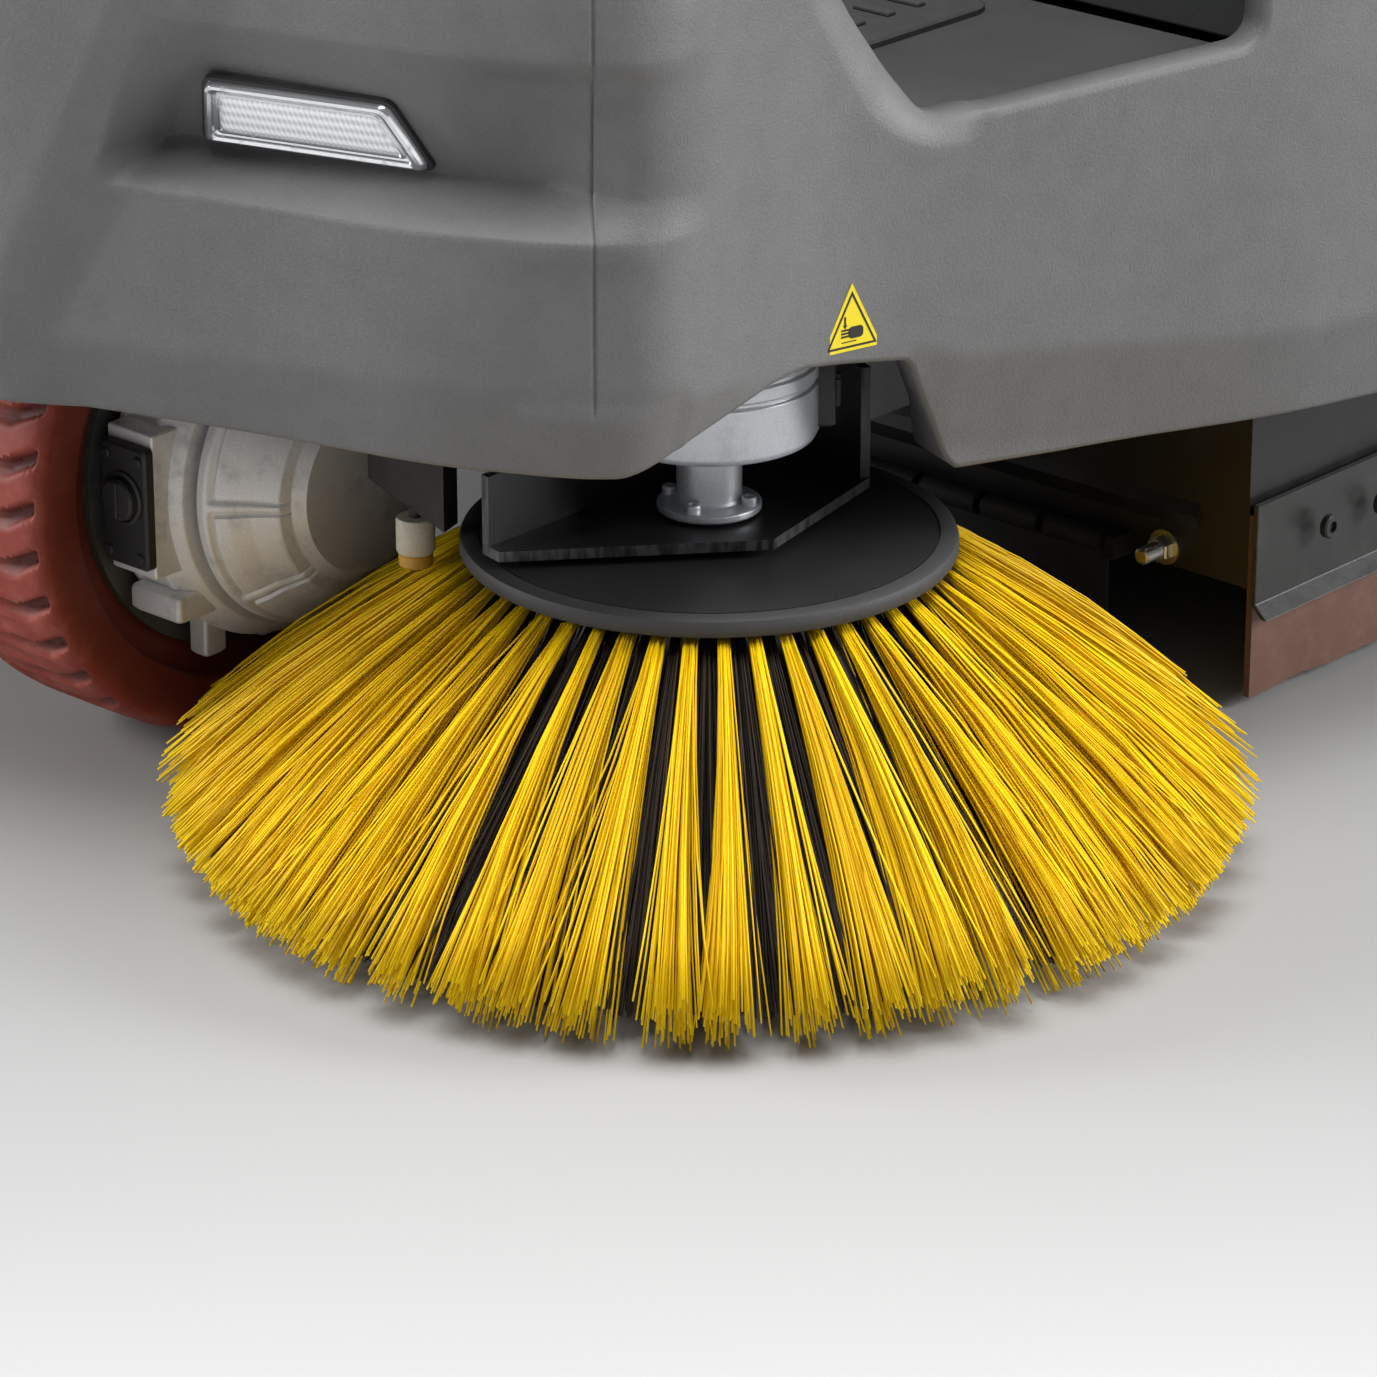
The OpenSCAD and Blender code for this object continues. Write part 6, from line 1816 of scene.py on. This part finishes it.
@dataclass
class Cushion:
    """A stuffed pad blown up as cloth, with a welt round it and sewn channels."""

    node: str
    name: str
    corner: float
    channels: int
    along_z: bool
    shrink: float = 13.0
    cap: float = 16.0
    voxel: float = 6.0

    def build(self) -> None:
        low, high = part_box(self.node)
        low, high = (low - ORIGIN) / MM, (high - ORIGIN) / MM
        mid, half = (low + high) / 2, (high - low) / 2
        form = Form()
        thick = half.y if self.along_z else half.z
        rows = []
        s = self.shrink
        for inset, h in ((s + 10, -1.0), (s + 2, -0.86), (s, -0.4), (s, 0.4), (s + 2, 0.86), (s + 10, 1.0)):
            outline = rounded_box(half.x - inset, (half.z if self.along_z else half.y) - inset, self.corner,
                                  6)
            depth = h * (thick - s * 0.75)
            rows.append([(mid.x + u, mid.y + depth, mid.z + v) if self.along_z
                         else (mid.x + u, mid.y + v, mid.z + depth) for u, v in outline])
        form.rows(rows, ring=True, caps=True)
        piece = form.make(self.name, "seat", "seat_vinyl", Finish.VINYL, self.node, sharp=180)
        self._blow(piece)
        self._sew(piece, mid, half, thick)

    def _blow(self, piece: bpy.types.Object) -> None:
        """Remesh the pad and let cloth pressure crown it, each point held within the cap."""
        remesh = piece.modifiers.new("remesh", "REMESH")
        remesh.mode = "VOXEL"
        remesh.voxel_size = self.voxel * MM
        remesh.use_smooth_shade = True
        self._apply(piece)
        start = np.zeros(len(piece.data.vertices) * 3)
        piece.data.vertices.foreach_get("co", start)
        start = start.reshape(-1, 3)
        cloth = piece.modifiers.new("cloth", "CLOTH")
        cloth.settings.use_pressure = True
        cloth.settings.uniform_pressure_force = 4.0
        cloth.settings.effector_weights.gravity = 0.0
        cloth.settings.quality = 5
        scene = bpy.context.scene
        for number in range(1, 21):
            scene.frame_set(number)
        self._apply(piece)
        scene.frame_set(1)
        end = np.zeros(len(piece.data.vertices) * 3)
        piece.data.vertices.foreach_get("co", end)
        end = end.reshape(-1, 3)
        move = end - start
        size = np.linalg.norm(move, axis=1, keepdims=True)
        limit = self.cap * MM
        move *= np.minimum(1.0, limit / np.maximum(size, 1e-9))
        piece.data.vertices.foreach_set("co", (start + move).ravel())
        finer = piece.modifiers.new("finer", "SUBSURF")
        finer.levels = finer.render_levels = 1
        self._apply(piece)

    def _apply(self, piece: bpy.types.Object) -> None:
        """Replace the piece's mesh by what its modifiers make of it."""
        graph = bpy.context.evaluated_depsgraph_get()
        graph.update()
        made = bpy.data.meshes.new_from_object(piece.evaluated_get(graph), depsgraph=graph)
        piece.modifiers.clear()
        piece.data = made
        piece.data.materials.clear()
        piece.data.materials.append(material(Finish.VINYL))
        piece.data.shade_smooth()

    def _sew(self, piece: bpy.types.Object, mid: Vector, half: Vector, thick: float) -> None:
        """Press the channels into the face and lay a welt round the edge."""
        count = len(piece.data.vertices)
        co = np.zeros(count * 3)
        piece.data.vertices.foreach_get("co", co)
        co = co.reshape(-1, 3)
        p = (co - np.array(ORIGIN)) / MM - np.array(mid)
        u, v, h = (p[:, 0], p[:, 2], -p[:, 1]) if self.along_z else (p[:, 0], p[:, 1], p[:, 2])
        wide, tall = half.x - 52, (half.z if self.along_z else half.y) - 52
        face = step(h, thick * 0.2, thick * 0.5)
        edge = np.maximum(np.abs(u) - wide, np.abs(v) - tall)
        press = np.exp(-(edge / 3.6) ** 2)
        for k in range(self.channels):
            at = -tall + 2 * tall * (k + 1) / (self.channels + 1)
            press = np.maximum(press, np.exp(-((v - at) / 3.6) ** 2) * (np.abs(u) < wide))
        drop = 5.5 * press * face
        if self.along_z:
            co[:, 1] += drop * MM
        else:
            co[:, 2] -= drop * MM
        low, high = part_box(self.node)
        co = np.clip(co, np.array(low) - 0.006, np.array(high) + 0.006)
        if not self.along_z:
            co[:, 2] = np.maximum(co[:, 2], low.z + 0.0004)
        else:
            co[:, 1] = np.minimum(co[:, 1], high.y - 0.0004)
        piece.data.vertices.foreach_set("co", co.ravel())
        welt = Form()
        reach = 3.0
        outline = rounded_box(half.x - reach, (half.z if self.along_z else half.y) - reach, self.corner + 8,
                              10)
        depth = thick * 0.42
        path = [(mid.x + a, mid.y - depth, mid.z + b) if self.along_z else (mid.x + a, mid.y + b,
                                                                            mid.z + depth)
                for a, b in outline]
        surface = self._surface(piece, path)
        welt.tube(surface, 3.0, 8, closed=True)
        welt.make(self.name + "_welt", "seat", "seat_vinyl", Finish.GRIP, sharp=180)

    def _surface(self, piece: bpy.types.Object, path: Sequence[Point]) -> list[Vector]:
        """Return the path's points moved onto the pad."""
        out = []
        for p in path:
            place = Vector(p) * MM + ORIGIN
            found, where, normal, _ = piece.closest_point_on_mesh(place)
            out.append((where + normal * 0.001 - ORIGIN) / MM if found else Vector(p))
        smooth = []
        for i in range(len(out)):
            smooth.append((out[i - 1] + out[i] * 2 + out[(i + 1) % len(out)]) / 4)
        return smooth


@dataclass
class Seat:
    """Seat shell, cushions and the tilting platform."""

    def build(self) -> None:
        """Build the cushions and dress the rest."""
        Cushion("seat_cushion", "seat_pad", 42.0, 2, False).build()
        Cushion("back_cushion", "back_pad", 42.0, 3, True, shrink=9.0, cap=12.0).build()
        self._shell()
        dress("seat_platform", Finish.DARK_PLASTIC, 2.5)

    def _shell(self) -> None:
        """Build the moulded shell: a round-cornered pan and a slightly dished back."""
        low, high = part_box("seat_shell")
        low, high = (low - ORIGIN) / MM, (high - ORIGIN) / MM
        form = Form()
        mid_y, half_y = (low.y + high.y) / 2, (high.y - low.y) / 2
        rows = []
        for inset, z in ((2.0, low.z), (0.0, low.z + 2), (0.0, low.z + 10), (2.0, low.z + 12)):
            rows.append([(x, mid_y + y, z) for x, y in rounded_box(high.x - inset, half_y - inset, 34, 8)])
        form.rows(rows, ring=True, caps=True)
        mid_z, half_z = (low.z + 12 + high.z) / 2, (high.z - low.z - 12) / 2
        rows = []
        for inset, y in ((2.0, 723.4), (0.0, 725), (0.0, 733), (2.0, 734.8), (46.0, 734.8), (54.0, 731.6),
                         (120, 731.6)):
            outline = rounded_box(high.x - 10 - inset, half_z - inset, max(60 - inset * 0.4, 20), 8)
            rows.append([(x, y, mid_z + z) for x, z in outline])
        form.rows(rows, ring=True, caps=True)
        for side in (1, -1):
            a, b = sorted((side * 120.0, side * 150.0))
            form.block((a, 700, low.z + 8), (b, 726, low.z + 46), 3.0)
        form.make("seat_shell_moulding", "seat", "dark_plastic", Finish.BLACK_PLASTIC, "seat_shell",
                  bevel=0.8)


# ---------------------------------------------------------------- rear of the machine


@dataclass
class RearBody:
    """The side panels, tail and hood."""

    base_z: float = 184.0
    base_top: float = 640.0
    side_top: float = 480.0
    step_y: float = 756.0
    tail_y: float = 1445.0
    half_w: float = 465.0
    wheel: tuple[float, float] = (1010.0, 140.0)
    arch_r: float = 165.0

    def __post_init__(self) -> None:
        """Draw the plan from the middle of the tail round to the front edge."""
        corner = [(self.half_w - 60 + 60 * math.sin(a), self.tail_y - 60 + 60 * math.cos(a))
                  for a in [math.pi / 2 * k / 8 for k in range(9)]]
        side = [(465, 1200), (465, 900), (465, 600), (465, 400), (463.4, 372), (461, 350), (452, 310),
                (448.5, 294)]
        points = [(0.0, self.tail_y), (200, self.tail_y), (350, self.tail_y), *corner, *side]
        self.plan = Plan([(x, -y) for x, y in points], 6)

    def place(self, s: np.ndarray, w: np.ndarray) -> np.ndarray:
        """Return the surface point, with a pressed line along the sides and a soft lower tuck."""
        y = -np.interp(s, self.plan.length, self.plan.y)
        tuck = np.clip((231 + 2 * step(y, 290, 700) - w) / 30, 0, 1.5) * 6.0
        line = 2.4 * np.exp(-((w - 447) / 3.2) ** 2) * step(y, 330, 352)
        panel = 2.2 * step(w, 268, 276) * (1 - step(w, 416, 424)) * (
            step(y, 800, 812) * (1 - step(y, 1372, 1384)) * (y < self.tail_y - 30))
        points = self.plan.at(s, w, tuck + line + panel)
        points[..., 1] *= -1
        return points

    def build(self) -> None:
        """Build the skin, the hood, and dress the bumper and the front wall."""
        circle = [(self.wheel[0] + (self.arch_r - 2) * math.cos(TAU * k / 72),
                   self.wheel[1] + (self.arch_r - 2) * math.sin(TAU * k / 72)) for k in range(72)]
        edge, depth, shallow = everywhere(4.0), everywhere(14.0), everywhere(5.0)
        top = [(self.step_y + 26, 900.0), (self.step_y + 26, self.side_top + 26),
               (1600.0, self.side_top + 26),
               (1600.0, 900.0)]
        roof = [(-100.0, self.base_top + 8), (1600.0, self.base_top + 8), (1600.0, 990.0), (-100.0, 990.0)]
        low = [(-100.0, 0.0), (-100.0, self.base_z - 8), (1600.0, self.base_z - 8), (1600.0, 0.0)]
        front = [(-100.0, 900.0), (288.0, 900.0), (288.0, 425.0), (369.0, 155.0), (369.0, 0.0), (-100.0, 0.0)]
        tail = [(self.tail_y - 30, 100.0), (self.tail_y - 30, 255.0), (1600.0, 255.0), (1600.0, 100.0)]

        holes = [Hole(circle, 0.0, edge, depth), Hole(top, 22.0, edge, shallow),
                 Hole(roof, 4.0, edge, shallow),
                 Hole(low, 4.0, edge, depth), Hole(front, 3.0, edge, shallow), Hole(tail, 6.0, edge, depth)]
        lengths = np.arange(0, self.plan.length[-1], 7.0)
        heights = np.arange(self.base_z - 10, self.base_top + 10, 5.0)
        skin = Skin(self.place, lengths, heights, holes)
        form = skin.build().mirrored()
        piece = form.make("rear_body_panels", "chassis", "cowl_plastic", Finish.COWL, "rear_body", sharp=48.0,
                          weld=0.3)
        shell = piece.modifiers.new("shell", "SOLIDIFY")
        shell.thickness = SKIN_THICK * MM
        shell.offset = -1.0
        self._walls()
        self._hood()
        dress("rear_bumper", Finish.GRIP, 3.0)

    def _walls(self) -> None:
        """Build the inner walls of the seat base, the hinge ears and knuckles."""
        form = Form()
        form.block((-428, 296, 348), (428, 302, 640), 1.0)
        form.block((-461, 750, 474), (461, 756, 640), 1.0)
        for side in (1, -1):
            a, b = sorted((side * 200.0, side * 212.0))
            form.block((a, 1396, 420), (b, 1442, 478), 1.0)
            form.block((a, 1396, 420), (b, 1420, 515), 1.0)
            ends = sorted((side * 210.0, side * 234.0))
            form.revolve([(0.5, ends[0]), (5, ends[0] + 0.6), (5, ends[1] - 0.6), (0.5, ends[1])],
                         (0, 1408, 505), "x", 32)
            ends = sorted((side * 200.3, side * 230.0))
            form.revolve([(2.6, ends[0]), (5, ends[0]), (5, ends[1]), (2.6, ends[1])], (0, 290, 641), "x", 32)
            form.block((ends[0], 290, 631), (ends[1], 297, 640), 0.6)
            ends = sorted((side * 155.0, side * 210.0))
            form.revolve([(0.4, ends[0]), (2.5, ends[0] + 0.4), (2.5, ends[1] - 0.4), (0.4, ends[1])],
                         (0, 290, 641), "x", 24)
        form.make("seat_base_walls", "chassis", "cowl_plastic", Finish.DARK_PLASTIC, bevel=0.4)

    def _hood(self) -> None:
        """Build the crowned hood as one sheet with a rolled lower edge and grip recesses."""
        y0, y1 = 762.0, 1431.0
        mid_y, half_y, half_x = (y0 + y1) / 2, (y1 - y0) / 2, 451.0
        levels = [(0.4, 483.0), (0, 485), (0, 516), (1.0, 518), (1.4, 519.5), (2.2, 521), (4, 555),
                  (8, 590), (14, 612), (24, 630), (38, 642), (56, 648.2), (80, 650.2), (130, 651)]
        rows = []
        for inset, z in levels:
            row = []
            for x, y in self._outline(half_x - inset, half_y - inset * 0.9, max(60 - inset * 0.2, 34)):
                lifted = 499.5 if mid_y + y > 1415 else 0.0
                ear = 515.5 if mid_y + y > 1415 and 191.5 < abs(x) < 221.5 else 0.0
                row.append((x, mid_y + y, max(z, lifted, ear)))
            rows.append(row)
        form = Form()
        form.rows(rows, ring=True)
        top = rows[-1]
        count = len(top)
        inner = [rows[-1]]
        for share in (0.75, 0.5, 0.25):
            inner.append([(p[0] * share, mid_y + (p[1] - mid_y) * share,
                           651 + 3.0 * (1 - share ** 2)) for p in top])
        form.rows(inner, ring=True)
        last = inner[-1]
        form.add([*last, (0.0, mid_y, 654.0)], [(i, (i + 1) % count, count) for i in range(count)])
        piece = form.make("rear_hood_shell", "hood", "cowl_plastic", Finish.HOOD, "rear_hood", sharp=50,
                          weld=0.2)
        shell = piece.modifiers.new("shell", "SOLIDIFY")
        shell.thickness = SKIN_THICK * MM
        shell.offset = -1.0
        self._knuckles()

    def _outline(self, half_x: float, half_y: float, radius: float) -> list[tuple[float, float]]:
        """Return the hood's plan with points close enough for the slots in its rim."""
        full = rounded_box(451.0, 334.5, 60.0, 12)
        corners = rounded_box(half_x, half_y, radius, 12)
        out = []
        for i, (x, y) in enumerate(corners):
            u, v = corners[(i + 1) % len(corners)]
            count = max(1, round(math.dist(full[i], full[(i + 1) % len(full)]) / 6.0))
            out.extend((x + (u - x) * k / count, y + (v - y) * k / count) for k in range(count))
        return out

    def _knuckles(self) -> None:
        """Build the hood's two hinge knuckles."""
        knuckles = Form()
        for side in (1, -1):
            a, b = sorted((side * 214.0, side * 228.0))
            knuckles.block((a, 1396, 497), (b, 1412, 596), 1.5)
        knuckles.make("hood_knuckles", "hood", "cowl_plastic", Finish.DARK_PLASTIC)


# ---------------------------------------------------------------- the CAD nodes that stay


KEPT: dict[str, tuple[Finish, float]] = {
    "chassis_frame": (Finish.STEEL, 1.2),
    "battery": (Finish.BLACK_PLASTIC, 3.0),
    "filter_box": (Finish.STEEL, 1.0),
    "flat_filter": (Finish.PAPER, 0.6),
    "fan_housing": (Finish.DARK_PLASTIC, 1.2),
    "fan_impeller": (Finish.ALUMINIUM, 0.4),
    "control_box": (Finish.ALUMINIUM, 0.8),
    "steering_fork": (Finish.STEEL, 1.2),
    "front_rim": (Finish.RIM, 1.0),
    "gear_motors": (Finish.MOTOR, 1.0),
    "hopper_bin": (Finish.GREY_STEEL, 1.2),
    "hopper_rollers": (Finish.GRIP, 1.0),
}


# ---------------------------------------------------------------- studio


@dataclass
class Studio:
    """Pale floor, soft lights, and the camera close to the front left corner."""

    azimuth: float = 42.0
    elevation: float = 22.45
    distance: float = 2720.0
    lens: float = 156.0
    aim: tuple[float, float, float] = (11.05, -26.35, 85.0)

    def build(self) -> None:
        """Set up the whole studio."""
        self._camera()
        self._floor()
        self._lights()

    def _camera(self) -> None:
        """Aim the camera beside the side brush."""
        disc = centre("side_brush_disc")
        target = Vector((disc.x + self.aim[0] * MM, disc.y + self.aim[1] * MM, self.aim[2] * MM))
        a, e = math.radians(self.azimuth), math.radians(self.elevation)
        back = Vector((math.sin(a) * math.cos(e), -math.cos(a) * math.cos(e), math.sin(e)))
        data = bpy.data.cameras.new("studio_camera")
        data.lens = self.lens
        data.sensor_width = 36.0
        data.clip_end = 100.0
        camera = bpy.data.objects.new("studio_camera", data)
        camera.location = target + back * self.distance * MM
        camera.rotation_euler = (-back).to_track_quat("-Z", "Y").to_euler()
        bpy.context.scene.collection.objects.link(camera)
        bpy.context.scene.camera = camera

    def _floor(self) -> None:
        """Lay a large pale floor whose material paints shadow round the machine."""
        mesh = bpy.data.meshes.new("studio_floor")
        work = bmesh.new()
        bmesh.ops.create_grid(work, x_segments=24, y_segments=24, size=20.0)
        work.to_mesh(mesh)
        work.free()
        floor = bpy.data.objects.new("studio_floor", mesh)
        floor.data.materials.append(material(Finish.FLOOR))
        bpy.context.scene.collection.objects.link(floor)

    def _area(self, name: str, place: Point, aim: Point, size: tuple[float, float], power: float) -> None:
        """Hang one soft box."""
        data = bpy.data.lights.new(name, "AREA")
        data.shape = "RECTANGLE"
        data.size, data.size_y = size
        data.energy = power
        lamp = bpy.data.objects.new(name, data)
        lamp.location = place
        lamp.rotation_euler = (Vector(aim) - Vector(place)).to_track_quat("-Z", "Y").to_euler()
        bpy.context.scene.collection.objects.link(lamp)

    def _lights(self) -> None:
        """Hang the soft boxes and set the pale surround."""
        world = bpy.data.worlds.new("studio_surround")
        world.use_nodes = True
        world.node_tree.nodes["Background"].inputs[0].default_value = (0.93, 0.94, 0.96, 1.0)
        world.node_tree.nodes["Background"].inputs[1].default_value = 0.25
        bpy.context.scene.world = world
        bpy.context.scene.view_settings.view_transform = "Standard"
        self._area("softbox_right", (3.4, 2.2, 1.8), (0.3, -0.4, 0.3), (1.8, 1.8), 185.0)
        self._area("softbox_left", (-3.0, -2.8, 1.6), (0.1, -0.6, 0.3), (1.7, 1.7), 128.0)
        self._area("softbox_top", (0.62, -1.1, 3.5), (0.4, -0.8, 0.0), (2.0, 2.0), 118.0)


def main() -> None:
    """Build every assembly in order."""
    logging.basicConfig(level=logging.INFO, format="%(message)s")
    Studio().build()
    cowl = Cowl()
    cowl.build()
    Headlamps(cowl).build()
    HazardLabel().build(cowl)
    DriveUnit().build()
    SideBrush().build()
    BrushCarrier().build()
    BroomDeck().build()
    Broom().build()
    RearWheels().build()
    Controls().build()
    Seat().build()
    RearBody().build()
    for node, (finish, width) in KEPT.items():
        dress(node, finish, width)


if __name__ == "__main__":
    main()
